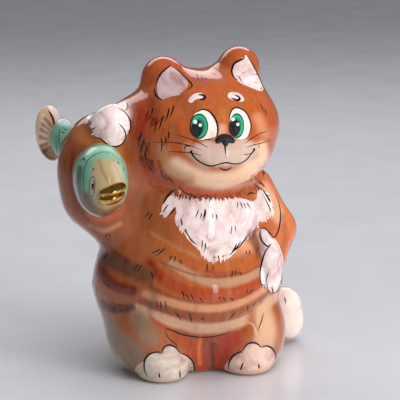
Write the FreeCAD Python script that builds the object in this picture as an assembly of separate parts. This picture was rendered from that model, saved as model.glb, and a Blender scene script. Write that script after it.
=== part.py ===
import FreeCAD, Part
import math
import os

# Seated ceramic cat holding a fish, a hollow slip-cast figurine that stands on a flat base.
# Millimetres. +Z up, the cat faces -Y, the cat's own left is +X. Origin: the middle of the flat base, on the floor.

# ------------------------------------------------------------------ driving dimensions
WALL_BODY = 3.6          # cast wall of the body
WALL_HEAD = 3.4          # cast wall of the head
VENT_DIA = 7.0           # vent in the base, through which the slip was poured out
VENT_AT = (0.0, 15.0)
NECK_DIA = 24.0          # opening between the body and the head
NECK_AT = (4.0, -2.0)
FLOOR_Z = 0.0

# Each moulded piece is a blend of ellipsoids ("e": centre, radii, tilt about Y in degrees) and tapered limbs
# ("c": start, end, start radius, end radius). The last number of a row is the fillet with which it joins the rows
# above it.
FORM = {
    "torso": [
        ("e", (-1.0, 0, 36), (41.3, 33, 33), 0, 0),          # belly
        ("e", (1, 2, 66), (33, 27, 29), 0, 14),              # chest and shoulders
        ("e", (-0.5, -12, 37), (32, 25.5, 22), 0, 8),        # front of the belly
        ("e", (-18.8, -8.5, 18.5), (20.0, 23, 22.5), 0, 7),          # right haunch
        ("e", (20, -9, 15), (19.5, 23.5, 22), 0, 6),         # left haunch
        ("e", (0, 6, 18), (31, 26, 24), 0, 10),              # rump
        ("e", (0, -6, 9), (16, 18.5, 16), 0, 8),             # between the legs
    ],
    "head": [
        ("e", (3.8, -3, 103), (34.0, 27, 24), 0, 0),         # skull and cheeks
        ("e", (3.5, -5.5, 93), (28.8, 26, 17.5), 0, 8),        # jaw
        ("e", (7.5, -19, 95), (17, 13.5, 12.5), 0, 8),       # muzzle
    ],
    "ear_right": [("c", (-5.0, 2, 111), (-11.4, 0.5, 124.1), 14.5, 8.8, 0)],
    "ear_left": [("c", (17.0, 2, 111), (21.4, 0.5, 127.1), 15.5, 8.8, 0)],
    "raised_arm": [
        ("e", (-32.6, 1, 85.2), (24.2, 17, 24.6), 0, 0),
        ("c", (-26, 1, 60), (-41, 1, 74), 13.5, 13.5, 6),
        ("c", (-40, 1, 98.5), (-24, 2, 104), 10.5, 11.0, 6),
    ],
    "raised_paw": [("e", (-35.2, -7.0, 104.8), (9.4, 7.6, 10.6), 24, 0)],
    "fish_body": [
        ("c", (-42, -12, 87), (-43.5, 5, 91.5), 10, 6.6, 0),
        ("c", (-43.5, 5, 91.5), (-50.3, 17, 95.8), 6.6, 6.0, 3),
        ("e", (-50.8, 18.5, 96.2), (5.6, 6.0, 8.6), 0, 3),
        ("e", (-41.5, -16, 85), (11.3, 14, 15.2), 0, 3),
    ],
    "fish_tail_fin": [("e", (-55, 26.5, 97), (6.4, 6.0, 12), -5, 0)],
    "fish_lips": [("e", (-38.8, -28.6, 83), (6, 4, 4.6), 0, 0)],
    "resting_arm": [
        ("c", (28, 1, 74), (37.0, -2, 56), 9, 9, 0),
        ("c", (37.0, -2, 56), (31.8, -16, 48), 9, 6.5, 5),
    ],
    "resting_paw": [
        ("e", (28.8, -23.0, 46), (5.5, 4.5, 13.0), -4, 0),
        ("c", (25.2, -25.0, 60.0), (28.5, -24.0, 53), 2.6, 3.2, 2.0),
    ],
    "foot_right": [("e", (-17.4, -22.0, 6), (11.5, 11.3, 10), 0, 0)],
    "foot_left": [("e", (20, -21.5, 6), (11.5, 11.0, 10), 0, 0)],
    "tail": [
        ("c", (12, 30, 9), (35, 26, 9), 8.5, 8.5, 0),
        ("c", (35, 26, 9), (45, 12, 10), 8.5, 9, 3),
        ("c", (45, 12, 10), (45, 8.5, 18.5), 9, 7.6, 6),
    ],
    "nose": [("e", (7.2, -31.9, 103.2), (4.2, 2.6, 2.6), 0, 0)],
}

# The line inside each piece that its skin is measured out from: one point for a rounded piece, more for a limb.
# Then the number of points round a ring, and of rings over each rounded end.
SPINE = {
    "torso": ([(0, -2, 20), (0, -1, 36), (1, 1, 50), (1, 2, 66)], 40, 7),
    "head": ([(4, -4, 100)], 36, 11),
    "ear_right": ([(-5.0, 2, 111), (-11.2, 0.5, 124.8)], 20, 5),
    "ear_left": ([(17.0, 2, 111), (21.4, 0.5, 127.8)], 20, 5),
    "raised_arm": ([(-32, 1, 78), (-32, 1, 90)], 32, 8),
    "raised_paw": ([(-35.2, -7.0, 104.8)], 20, 7),
    "fish_body": ([(-41.5, -18, 84.5), (-42.3, -8, 87.8), (-44.8, 7, 92.3), (-50.8, 18.5, 96.2)], 28, 6),
    "fish_tail_fin": ([(-55.3, 26.5, 93), (-54.7, 26.5, 101)], 20, 5),
    "fish_lips": ([(-38.8, -28.6, 83)], 20, 6),
    "resting_arm": ([(28, 1, 74), (32.3, -1, 65), (34.3, -6.5, 56.5), (31.5, -15.5, 48.5)], 24, 5),
    "resting_paw": ([(29.3, -23.0, 38.5), (28.8, -23, 46), (28.0, -23.5, 53), (25.2, -25.0, 60.0)], 20, 5),
    "foot_right": ([(-17.4, -22.0, 6)], 24, 8),
    "foot_left": ([(20, -21.5, 6)], 24, 8),
    "tail": ([(12, 30, 9), (23, 28, 9), (34, 22.5, 9.5), (43, 13.0, 13)], 24, 6),
    "nose": ([(7.2, -31.9, 103.2)], 20, 6),
}


# ------------------------------------------------------------------ the form as a distance
def vsub(a, b):
    return (a[0] - b[0], a[1] - b[1], a[2] - b[2])


def vadd(a, b, k=1.0):
    return (a[0] + k * b[0], a[1] + k * b[1], a[2] + k * b[2])


def vdot(a, b):
    return a[0] * b[0] + a[1] * b[1] + a[2] * b[2]


def vcross(a, b):
    return (a[1] * b[2] - a[2] * b[1], a[2] * b[0] - a[0] * b[2], a[0] * b[1] - a[1] * b[0])


def unit(a):
    n = math.sqrt(vdot(a, a))
    return (a[0] / n, a[1] / n, a[2] / n)


def ellipsoid(p, c, r, tilt):
    x, y, z = vsub(p, c)
    if tilt:
        t = math.radians(tilt)
        x, z = x * math.cos(t) - z * math.sin(t), x * math.sin(t) + z * math.cos(t)
    k0 = math.sqrt((x / r[0]) ** 2 + (y / r[1]) ** 2 + (z / r[2]) ** 2)
    k1 = math.sqrt((x / r[0] ** 2) ** 2 + (y / r[1] ** 2) ** 2 + (z / r[2] ** 2) ** 2)
    return k0 * (k0 - 1.0) / k1 if k1 > 1e-12 else -min(r)


def limb(p, a, b, ra, rb):
    ab, ap = vsub(b, a), vsub(p, a)
    h = max(0.0, min(1.0, vdot(ap, ab) / vdot(ab, ab)))
    q = vadd(ap, ab, -h)
    return math.sqrt(vdot(q, q)) - (ra + (rb - ra) * h)


def blend(a, b, k):
    if k <= 0:
        return min(a, b)
    h = max(k - abs(a - b), 0.0) / k
    return min(a, b) - h * h * h * k / 6.0


def distance(p, rows):
    d = None
    for row in rows:
        q = ellipsoid(p, row[1], row[2], row[3]) if row[0] == "e" else limb(p, row[1], row[2], row[3], row[4])
        d = q if d is None else blend(d, q, row[-1])
    return d


def reach(o, w, rows, inset):
    """How far the skin lies from the point o in the direction w."""
    lo, hi = 0.0, 2.0
    while distance(vadd(o, w, hi), rows) + inset < 0:
        lo, hi = hi, hi + 4.0
    for _ in range(26):
        m = 0.5 * (lo + hi)
        if distance(vadd(o, w, m), rows) + inset < 0:
            lo = m
        else:
            hi = m
    return 0.5 * (lo + hi)


# ------------------------------------------------------------------ a smooth closed skin round a spine
def rings_of(spine, ring, cap, rows, inset):
    """Rows of points on the skin, from the pole at the spine's first point to the pole at its last."""
    if len(spine) > 1:
        tang = [unit(vsub(spine[min(i + 1, len(spine) - 1)], spine[max(i - 1, 0)])) for i in range(len(spine))]
    else:
        tang = [(0.0, 0.0, 1.0)]
    side = (1.0, 0.0, 0.0) if abs(tang[0][0]) < 0.9 else (0.0, 0.0, 1.0)
    frames = []
    for t in tang:
        u = unit(vadd(side, t, -vdot(side, t)))
        frames.append((t, u, vcross(t, u)))
        side = u

    def row(o, frame, polar):
        t, u, v = frame
        s, c = math.sin(polar), -math.cos(polar)
        out = []
        for i in range(ring):
            a = 2 * math.pi * i / ring
            w = vadd(vadd((c * t[0], c * t[1], c * t[2]), u, s * math.cos(a)), v, s * math.sin(a))
            out.append(vadd(o, w, reach(o, w, rows, inset)))
        return out

    half = math.pi / 2
    step = half / (cap - 0.35)
    first, last = spine[0], spine[-1]
    net = [[vadd(first, frames[0][0], -reach(first, tuple(-c for c in frames[0][0]), rows, inset))] * ring]
    net += [row(first, frames[0], step * (j + 0.65)) for j in range(cap - 1)]
    for i in range(len(spine)):
        net.append(row(spine[i], frames[i], half))
    net += [row(last, frames[-1], math.pi - step * (j + 0.65)) for j in reversed(range(cap - 1))]
    net += [[vadd(last, frames[-1][0], reach(last, frames[-1][0], rows, inset))] * ring]
    return net


def basis(n, degree=3):
    """Knots of a clamped spline with n poles, and each pole's share at each pole's own station."""
    flat = [0.0] * degree + [float(i) for i in range(n - degree + 1)] + [float(n - degree)] * degree

    def share(j, d, t):
        if d == 0:
            last = t >= flat[-1] and flat[j] < flat[j + 1] == flat[-1]
            return 1.0 if flat[j] <= t < flat[j + 1] or last else 0.0
        a = flat[j + d] - flat[j]
        b = flat[j + d + 1] - flat[j + 1]
        v = (t - flat[j]) / a * share(j, d - 1, t) if a > 0 else 0.0
        return v + ((flat[j + d + 1] - t) / b * share(j + 1, d - 1, t) if b > 0 else 0.0)

    station = [sum(flat[j + 1:j + 1 + degree]) / degree for j in range(n)]
    return [[(j, share(j, degree, t)) for j in range(n) if share(j, degree, t) > 1e-12] for t in station]


def skin(name, inset=0.0):
    """The piece's closed solid, bounded by a spline surface through its rows of points, in eight patches."""
    spine, ring, cap = SPINE[name]
    want = rings_of(spine, ring, cap, FORM[name], inset)
    rows = len(want)
    share = basis(rows)
    poles = [list(r) for r in want]
    for _ in range(14):
        round_ = [[tuple((r[i - 1][c] + 4 * r[i][c] + r[(i + 1) % ring][c]) / 6 for c in range(3))
                   for i in range(ring)] for r in poles]
        for j in range(1, rows - 1):
            for i in range(ring):
                at = [sum(w * round_[k][i][c] for k, w in share[j]) for c in range(3)]
                poles[j][i] = tuple(poles[j][i][c] + want[j][i][c] - at[c] for c in range(3))
    surf = Part.BSplineSurface()
    net = [[FreeCAD.Vector(*p) for p in r] for r in zip(*poles)]      # first index runs round the ring
    surf.buildFromPolesMultsKnots(
        net, [1] * (ring + 1), [4] + [1] * (rows - 4) + [4],
        [float(i) for i in range(ring + 1)], [float(i) for i in range(rows - 2)], True, False, 3, 3)
    surf.setUNotPeriodic()
    mid = float(rows // 2 - 1)
    quarter = [ring * q / 4.0 for q in range(5)]
    faces = []
    for u0, u1 in zip(quarter, quarter[1:]):
        for v0, v1 in ((0.0, mid), (mid, float(rows - 3))):
            patch = surf.copy()
            patch.segment(u0, u1, v0, v1)
            faces.append(patch.toShape())
    shell = Part.makeShell(faces)
    shell.sewShape(1e-4)
    solid = Part.makeSolid(shell)
    if solid.Volume < 0:
        solid.reverse()
    return solid


def one(shape, least=0.02):
    """The single solid of a result, without slivers under the given share of it."""
    kept = sorted(shape.Solids, key=lambda s: -s.Volume)
    assert kept and all(s.Volume < least * kept[0].Volume for s in kept[1:]), [s.Volume for s in kept]
    return kept[0]


floor = Part.makeBox(400, 400, 100, FreeCAD.Vector(-200, -200, FLOOR_Z - 100))
out = {}
skins = {name: skin(name) for name in FORM}
for name, s in skins.items():
    print(name, s.isValid(), round(s.Volume / 1000, 2), "cm3")

# body: hollow, with a flat floor, a vent in it and a neck opening in the crown
body_outer = one(skins["torso"].cut(floor))
feet = {side: one(skins["foot_" + side].cut(floor)) for side in ("left", "right")}
inside = skin("torso", WALL_BODY).cut(Part.makeBox(400, 400, 100 + WALL_BODY, FreeCAD.Vector(-200, -200, -100)))
vent = Part.makeCylinder(VENT_DIA / 2, WALL_BODY * 3, FreeCAD.Vector(VENT_AT[0], VENT_AT[1], -WALL_BODY))
neck = Part.makeCylinder(NECK_DIA / 2, 40, FreeCAD.Vector(NECK_AT[0], NECK_AT[1], 78))
out["body_shell"] = one(body_outer.cut(inside).cut(vent).cut(neck).cut(feet["left"]).cut(feet["right"]))

# head: hollow, seated over the crown of the body
head_outer = skins["head"]
head_solid = one(head_outer.cut(body_outer))
out["head_shell"] = one(head_solid.cut(skin("head", WALL_HEAD)))

for side in ("left", "right"):
    out["ear_" + side] = one(skins["ear_" + side].cut(head_outer))
    out["foot_" + side] = feet[side]

# raised arm, with the fish through the crook of it
fish = skins["fish_body"]
arm = one(skins["raised_arm"].cut(body_outer).cut(head_outer))
arm_whole = skins["raised_arm"]
out["fish_body"] = fish
out["raised_arm"] = one(arm.cut(fish))
out["raised_paw"] = one(skins["raised_paw"].cut(arm_whole).cut(fish).cut(head_outer))
out["fish_tail_fin"] = one(skins["fish_tail_fin"].cut(fish))
out["fish_lips"] = one(skins["fish_lips"].cut(fish))

# resting arm and its paw
out["resting_arm"] = one(skins["resting_arm"].cut(body_outer).cut(head_outer))
out["resting_paw"] = one(skins["resting_paw"].cut(body_outer).cut(skins["resting_arm"]))

out["tail"] = one(skins["tail"].cut(floor).cut(body_outer))
out["nose"] = one(skins["nose"].cut(head_outer))

os.makedirs("parts", exist_ok=True)
lo, hi = [1e9] * 3, [-1e9] * 3
for name, shape in out.items():
    shape.exportStep("parts/%s.step" % name)
    b = shape.BoundBox
    for i, (a, z) in enumerate(((b.XMin, b.XMax), (b.YMin, b.YMax), (b.ZMin, b.ZMax))):
        lo[i], hi[i] = min(lo[i], a), max(hi[i], z)
    print("%-14s valid %s faces %d  %.2f cm3  z %.1f..%.1f" % (
        name, shape.isValid(), len(shape.Faces), shape.Volume / 1000, b.ZMin, b.ZMax))
print("box", [round(v, 2) for v in lo], [round(v, 2) for v in hi])
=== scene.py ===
import math
import random

import bpy
import numpy as np
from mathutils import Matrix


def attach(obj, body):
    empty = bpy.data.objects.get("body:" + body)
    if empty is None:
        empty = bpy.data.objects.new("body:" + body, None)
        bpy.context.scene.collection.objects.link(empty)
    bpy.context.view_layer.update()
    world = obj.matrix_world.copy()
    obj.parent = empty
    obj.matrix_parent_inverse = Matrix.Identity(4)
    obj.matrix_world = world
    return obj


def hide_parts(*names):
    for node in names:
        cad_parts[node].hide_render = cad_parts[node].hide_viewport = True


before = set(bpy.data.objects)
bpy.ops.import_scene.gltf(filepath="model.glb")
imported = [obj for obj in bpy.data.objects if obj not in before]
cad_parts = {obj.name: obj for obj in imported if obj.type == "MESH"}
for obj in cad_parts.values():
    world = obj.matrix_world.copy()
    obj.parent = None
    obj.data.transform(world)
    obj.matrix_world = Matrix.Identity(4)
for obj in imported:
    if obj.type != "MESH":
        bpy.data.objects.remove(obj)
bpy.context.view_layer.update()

import openvdb
from mathutils import Vector, geometry
from mathutils.bvhtree import BVHTree

F32 = np.float32
random.seed(7)
rng = np.random.default_rng(7)

# =====================================================================================================================
# 1. The form, in millimetres: the same blends of ellipsoids and limbs that the CAD pieces have.
# =====================================================================================================================
FORM = {
    "torso": [
        ("e", (-1.0, 0, 36), (41.3, 33, 33), 0, 0),
        ("e", (1, 2, 66), (33, 27, 29), 0, 14),
        ("e", (-0.5, -12, 37), (32, 25.5, 22), 0, 8),
        ("e", (-18.8, -8.5, 18.5), (20.0, 23, 22.5), 0, 7),
        ("e", (20, -9, 15), (19.5, 23.5, 22), 0, 6),
        ("e", (0, 6, 18), (31, 26, 24), 0, 10),
        ("e", (0, -6, 9), (16, 18.5, 16), 0, 8),
    ],
    "head": [
        ("e", (3.8, -3, 103), (34.0, 27, 24), 0, 0),
        ("e", (3.5, -5.5, 93), (28.8, 26, 17.5), 0, 8),
        ("e", (7.5, -19, 95), (17, 13.5, 12.5), 0, 8),
    ],
    "ear_right": [("c", (-5.0, 2, 111), (-11.4, 0.5, 124.1), 14.5, 8.8, 0)],
    "ear_left": [("c", (17.0, 2, 111), (21.4, 0.5, 127.1), 15.5, 8.8, 0)],
    "raised_arm": [
        ("e", (-32.6, 1, 85.2), (24.2, 17, 24.6), 0, 0),
        ("c", (-26, 1, 60), (-41, 1, 74), 13.5, 13.5, 6),
        ("c", (-40, 1, 98.5), (-24, 2, 104), 10.5, 11.0, 6),
    ],
    "raised_paw": [("e", (-35.2, -7.0, 104.8), (9.4, 7.6, 10.6), 24, 0)],
    "fish_body": [
        ("c", (-42, -12, 87), (-43.5, 5, 91.5), 10, 6.6, 0),
        ("c", (-43.5, 5, 91.5), (-50.3, 17, 95.8), 6.6, 6.0, 3),
        ("e", (-50.8, 18.5, 96.2), (5.6, 6.0, 8.6), 0, 3),
        ("e", (-41.5, -16, 85), (11.3, 14, 15.2), 0, 3),
    ],
    "resting_arm": [
        ("c", (28, 1, 74), (37.0, -2, 56), 9, 9, 0),
        ("c", (37.0, -2, 56), (31.8, -16, 48), 9, 6.5, 5),
    ],
    "resting_paw": [
        ("e", (28.8, -23.0, 46), (5.5, 4.5, 13.0), -4, 0),
        ("c", (25.2, -25.0, 60.0), (28.5, -24.0, 53), 2.6, 3.2, 2.0),
    ],
    "foot_right": [("e", (-17.4, -22.0, 6), (11.5, 11.3, 10), 0, 0)],
    "foot_left": [("e", (20, -21.5, 6), (11.5, 11.0, 10), 0, 0)],
    "tail": [
        ("c", (12, 30, 9), (35, 26, 9), 8.5, 8.5, 0),
        ("c", (35, 26, 9), (45, 12, 10), 8.5, 9, 3),
        ("c", (45, 12, 10), (45, 8.5, 18.5), 9, 7.6, 6),
    ],
}
# The soft fillet of slip with which each piece is luted on.
JOIN = dict(head=9, ear_right=10, ear_left=10, raised_arm=9, raised_paw=3, fish_body=1.3, resting_arm=4,
            resting_paw=2.5, foot_right=3.5, foot_left=3.5, tail=2)
NODES = ["torso"] + list(JOIN)
WALL = dict(torso=3.2, head=3.0, ear_right=2.4, ear_left=2.4, raised_arm=2.6, raised_paw=1.8, fish_body=2.2,
            resting_arm=2.2, resting_paw=1.1, foot_right=2.4, foot_left=2.4, tail=2.4)
CELL = 0.8
VENT = (0.0, 15.0, 3.5)


def tilt(deg):
    b = math.radians(deg)
    return ((math.cos(b), 0.0, math.sin(b)), (0.0, 1.0, 0.0), (-math.sin(b), 0.0, math.cos(b)))


def ell(P, c, r, R=None):
    q = [P[k] - F32(c[k]) for k in range(3)]
    if R is not None:
        q = [sum(F32(R[j][k]) * q[j] for j in range(3)) for k in range(3)]
    a = [q[k] / F32(r[k]) for k in range(3)]
    k0 = np.sqrt(a[0] ** 2 + a[1] ** 2 + a[2] ** 2)
    k1 = np.sqrt(sum((a[k] / F32(r[k])) ** 2 for k in range(3)))
    return k0 * (k0 - 1) / np.maximum(k1, F32(1e-6))


def limb(P, a, b, ra, rb):
    d = [b[k] - a[k] for k in range(3)]
    t = sum((P[k] - F32(a[k])) * F32(d[k]) for k in range(3)) / F32(sum(v * v for v in d))
    t = np.clip(t, 0, 1)
    return np.sqrt(sum((P[k] - F32(a[k]) - t * F32(d[k])) ** 2 for k in range(3))) - (F32(ra) + t * F32(rb - ra))


def smin(a, b, k):
    if k <= 0:
        return np.minimum(a, b)
    h = np.maximum(k - np.abs(a - b), 0) / F32(k)
    return np.minimum(a, b) - h * h * h * F32(k / 6.0)


def smax(a, b, k):
    return -smin(-a, -b, k)


def piece(P, name):
    d = None
    for row in FORM[name]:
        q = ell(P, row[1], row[2], tilt(row[3]) if row[3] else None) if row[0] == "e" else limb(P, *row[1:5])
        d = q if d is None else smin(d, q, row[-1])
    return d


def solid(P):
    """The whole figurine, without the fin, lips and nose, which are luted on as separate small castings."""
    d = piece(P, "torso")
    for n, k in JOIN.items():
        d = smin(d, piece(P, n), k)
    return smax(d, -P[2], 3.0)


def grad(fn, p, e=0.04):
    g = []
    for k in range(3):
        q = [c.copy() for c in p]; q[k] = q[k] + F32(e)
        r = [c.copy() for c in p]; r[k] = r[k] - F32(e)
        g.append((fn(q) - fn(r)) / (2 * e))
    return np.stack(g, 1).astype(float)


def cols(v):
    return [v[:, k].astype(F32) for k in range(3)]


def settle(fn, v, steps=3):
    """Moves points onto the surface fn = 0."""
    v = np.array(v, float)
    for _ in range(steps):
        p = cols(v)
        g = grad(fn, p)
        n2 = np.maximum((g * g).sum(1), 0.05)
        v = v - np.clip(fn(p) / n2, -0.6, 0.6)[:, None] * g
    return v


def normals_at(fn, v):
    g = grad(fn, cols(np.asarray(v, float)), 0.06)
    return g / np.maximum(np.linalg.norm(g, axis=1), 1e-9)[:, None]


def polygonise(fn, lo, hi, h):
    """Quads of the surface fn = 0. The field is worked out exactly only near the surface."""
    n = [int(math.ceil((hi[k] - lo[k]) / (4 * h))) * 4 + 1 for k in range(3)]
    ax = [(lo[k] + h * np.arange(n[k])).astype(F32) for k in range(3)]
    coarse = fn(np.meshgrid(*[a[::4] for a in ax], indexing="ij"))
    near = np.abs(coarse) < 4.6 * h * 1.75
    full = np.repeat(np.repeat(np.repeat(coarse, 4, 0), 4, 1), 4, 2)[:n[0], :n[1], :n[2]]
    full = np.clip(full, -9, 9).astype(F32)
    mask = near.copy()
    for k in range(3):
        mask |= np.roll(near, 1, k) | np.roll(near, -1, k)
    mask = np.repeat(np.repeat(np.repeat(mask, 4, 0), 4, 1), 4, 2)[:n[0], :n[1], :n[2]]
    i, j, k = np.nonzero(mask)
    full[i, j, k] = fn([ax[0][i], ax[1][j], ax[2][k]])
    g = openvdb.FloatGrid(background=10.0)
    g.copyFromArray(np.ascontiguousarray(full))
    pts, quads = g.convertToQuads(isovalue=0.0)
    pts, quads = pts.astype(float) * h + np.array(lo, float), quads.astype(np.int64)
    some = quads[::max(1, len(quads) // 500)]
    a, b, c, d = (pts[some[:, i]] for i in range(4))
    if (np.cross(c - a, d - b) * grad(fn, cols((a + b + c + d) / 4))).sum() < 0:
        quads = quads[:, ::-1]
    return pts, quads


# =====================================================================================================================
# 2. The camera, which is also what the painted details are laid out through, as a decorator works from one side.
# =====================================================================================================================
AZ, EL, DIST, MM_PX, BASE_PX = -14.0, 14.0, 800.0, 0.436, (190.0, 357.0)
_a, _e = math.radians(AZ), math.radians(EL)
BACK = np.array([math.sin(_a) * math.cos(_e), -math.cos(_a) * math.cos(_e), math.sin(_e)])
RIGHT = np.array([math.cos(_a), math.sin(_a), 0.0])
UP = np.cross(BACK, RIGHT)
AIM = RIGHT * ((200 - BASE_PX[0]) * MM_PX) + UP * ((BASE_PX[1] - 200) * MM_PX)
EYE = AIM + BACK * DIST


def seen_at(v):
    w = np.asarray(v, float) - EYE
    depth = -(w @ BACK)
    return np.stack([200 + (w @ RIGHT) / depth * DIST / MM_PX, 200 - (w @ UP) / depth * DIST / MM_PX], 1)


def sight(px):
    px = np.asarray(px, float)
    d = -BACK * DIST + RIGHT * ((px[:, :1] - 200) * MM_PX) + UP * ((200 - px[:, 1:2]) * MM_PX)
    return d / np.linalg.norm(d, axis=1)[:, None]


# ---------------------------------------------------------------- the one continuous glazed surface
V, Q = polygonise(solid, (-70, -44, -3.2), (62, 48, 142), CELL)
V = settle(solid, V, 3)
N = normals_at(solid, V)
values = np.stack([piece(cols(V), n) for n in NODES], 1)
label_v = values.argmin(1)
qc = V[Q].mean(1)
label_q = np.stack([piece(cols(qc), n) for n in NODES], 1).argmin(1)

# the seam between two pieces is drawn smooth: its points move along the surface to where the two fields are equal
first = np.full(len(V), 99); last = np.full(len(V), -1); count = np.zeros(len(V), int)
for c in range(4):
    np.minimum.at(first, Q[:, c], label_q)
    np.maximum.at(last, Q[:, c], label_q)
seam = np.nonzero(first != last)[0]
if len(seam):
    a, b = first[seam], last[seam]
    start = V[seam].copy()
    at = start.copy()
    for _ in range(5):
        p = cols(at)
        vals = np.stack([piece(p, n) for n in NODES], 1)
        diff = vals[np.arange(len(seam)), a] - vals[np.arange(len(seam)), b]
        g = np.zeros((len(seam), 3))
        for k in range(3):
            q = [c.copy() for c in p]; q[k] = q[k] + F32(0.05)
            vq = np.stack([piece(q, n) for n in NODES], 1)
            g[:, k] = (vq[np.arange(len(seam)), a] - vq[np.arange(len(seam)), b] - diff) / 0.05
        nn = N[seam]
        g -= (g * nn).sum(1)[:, None] * nn
        n2 = np.maximum((g * g).sum(1), 0.02)
        at = at - np.clip(diff / n2, -0.3, 0.3)[:, None] * g
        off = at - start
        length = np.linalg.norm(off, axis=1)
        at = start + off * (np.minimum(length, 0.42 * CELL) / np.maximum(length, 1e-9))[:, None]
    V[seam] = settle(solid, at, 2)
    N[seam] = normals_at(solid, V[seam])

ON = {"fn": solid, "tree": BVHTree.FromPolygons(V.tolist(), Q.tolist(), epsilon=0.0)}   # what is being painted on


def cast(origins, dirs):
    """Where rays first meet the surface. A ray that misses takes the nearest point of the surface to it."""
    out = np.zeros((len(origins), 3))
    tree = ON["tree"]
    for i, (o, d) in enumerate(zip(origins, dirs)):
        hit = tree.ray_cast(Vector(o), Vector(d))[0]
        if hit is None:
            w = Vector(o) + Vector(d) * DIST
            for _ in range(6):
                near = tree.find_nearest(w)[0]
                t = (near - Vector(o)).dot(Vector(d))
                w = Vector(o) + Vector(d) * t
            hit = near
        out[i] = hit
    return settle(ON["fn"], out, 2)


def on_front(px):
    px = np.asarray(px, float)
    return cast(np.repeat(EYE[None], len(px), 0), sight(px))


def round_axis(cx, cy):
    """Places points given as (degrees from the middle of the back, height) on the side that faces away from an axis."""
    def place(p):
        p = np.asarray(p, float)
        a = np.radians(p[:, 0])
        d = np.stack([np.sin(a), np.cos(a), a * 0], 1)
        o = np.stack([cx + 90 * d[:, 0], cy + 90 * d[:, 1], p[:, 1]], 1)
        return cast(o, -d)
    return place


# =====================================================================================================================
# 3. Colours. Washes are laid on the surface wet and soft; what has a crisp edge is laid on as its own film of enamel.
# =====================================================================================================================
def lin(c):
    c = np.asarray(c, float) / 255.0
    return np.where(c <= 0.04045, c / 12.92, ((c + 0.055) / 1.055) ** 2.4)


def step(x, a, b):
    t = np.clip((x - a) / (b - a), 0, 1)
    return t * t * (3 - 2 * t)


def smooth_line(pts, n=10):
    """A Catmull-Rom curve through the points, n steps to a span. Points may hold more than two numbers."""
    p = np.asarray(pts, float)
    if len(p) < 3:
        t = np.linspace(0, 1, n + 1)[:, None]
        return p[0] + (p[-1] - p[0]) * t
    q = np.vstack([2 * p[0] - p[1], p, 2 * p[-1] - p[-2]])
    out = []
    for i in range(1, len(q) - 2):
        for t in np.arange(n) / n:
            out.append(0.5 * ((2 * q[i]) + (q[i + 1] - q[i - 1]) * t + (2 * q[i - 1] - 5 * q[i] + 4 * q[i + 1] - q[i + 2]) * t * t
                              + (3 * q[i] - q[i - 1] - 3 * q[i + 1] + q[i + 2]) * t ** 3))
    return np.array(out + [p[-1]])


def closed_line(pts, n=6):
    p = np.asarray(pts, float)
    q = np.vstack([p[-1:], p, p[:2]])
    out = []
    for i in range(1, len(q) - 2):
        for t in np.arange(n) / n:
            out.append(0.5 * ((2 * q[i]) + (q[i + 1] - q[i - 1]) * t + (2 * q[i - 1] - 5 * q[i] + 4 * q[i + 1] - q[i + 2]) * t * t
                              + (3 * q[i] - q[i - 1] - 3 * q[i + 1] + q[i + 2]) * t ** 3))
    return np.array(out)


# Base glaze of each piece, as sRGB.
BASE = dict(torso=(165, 85, 40), head=(175, 80, 25), ear_right=(165, 70, 25), ear_left=(175, 78, 28),
            raised_arm=(145, 72, 30), raised_paw=(150, 80, 34), fish_body=(118, 170, 145), resting_arm=(205, 112, 66),
            resting_paw=(190, 115, 75), foot_right=(215, 190, 165), foot_left=(220, 180, 150), tail=(240, 222, 214))
HEAD = ("head", "ear_right", "ear_left")
BODY = ("torso",)
ARM = ("raised_arm", "raised_paw")
FISH = ("fish_body",)
# Stains on the brush, each used for several washes.
TINT = {"soot": (90, 15, 0), "burnt": (120, 35, 5), "garnet": (130, 45, 35), "umber": (100, 60, 40),
        "bark": (125, 65, 30), "chestnut": (145, 70, 25), "rust": (165, 60, 10), "ember": (180, 45, 5),
        "ginger": (170, 85, 30), "orange": (190, 85, 35), "clay": (160, 90, 55), "amber": (180, 105, 45),
        "flame": (225, 120, 60), "tan": (185, 125, 80), "fawn": (180, 135, 105), "apricot": (210, 145, 105),
        "sand": (215, 170, 135), "peach": (225, 165, 130), "cream": (240, 200, 165), "blush": (205, 180, 165),
        "shell": (245, 215, 205), "mauve": (155, 85, 65), "taupe": (180, 145, 130), "stone": (145, 115, 90),
        "straw": (170, 145, 105), "olive": (130, 110, 70), "celery": (190, 185, 150), "moss": (80, 85, 70),
        "sage": (100, 145, 130), "mint": (155, 205, 180), "ice": (215, 235, 240)}
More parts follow.
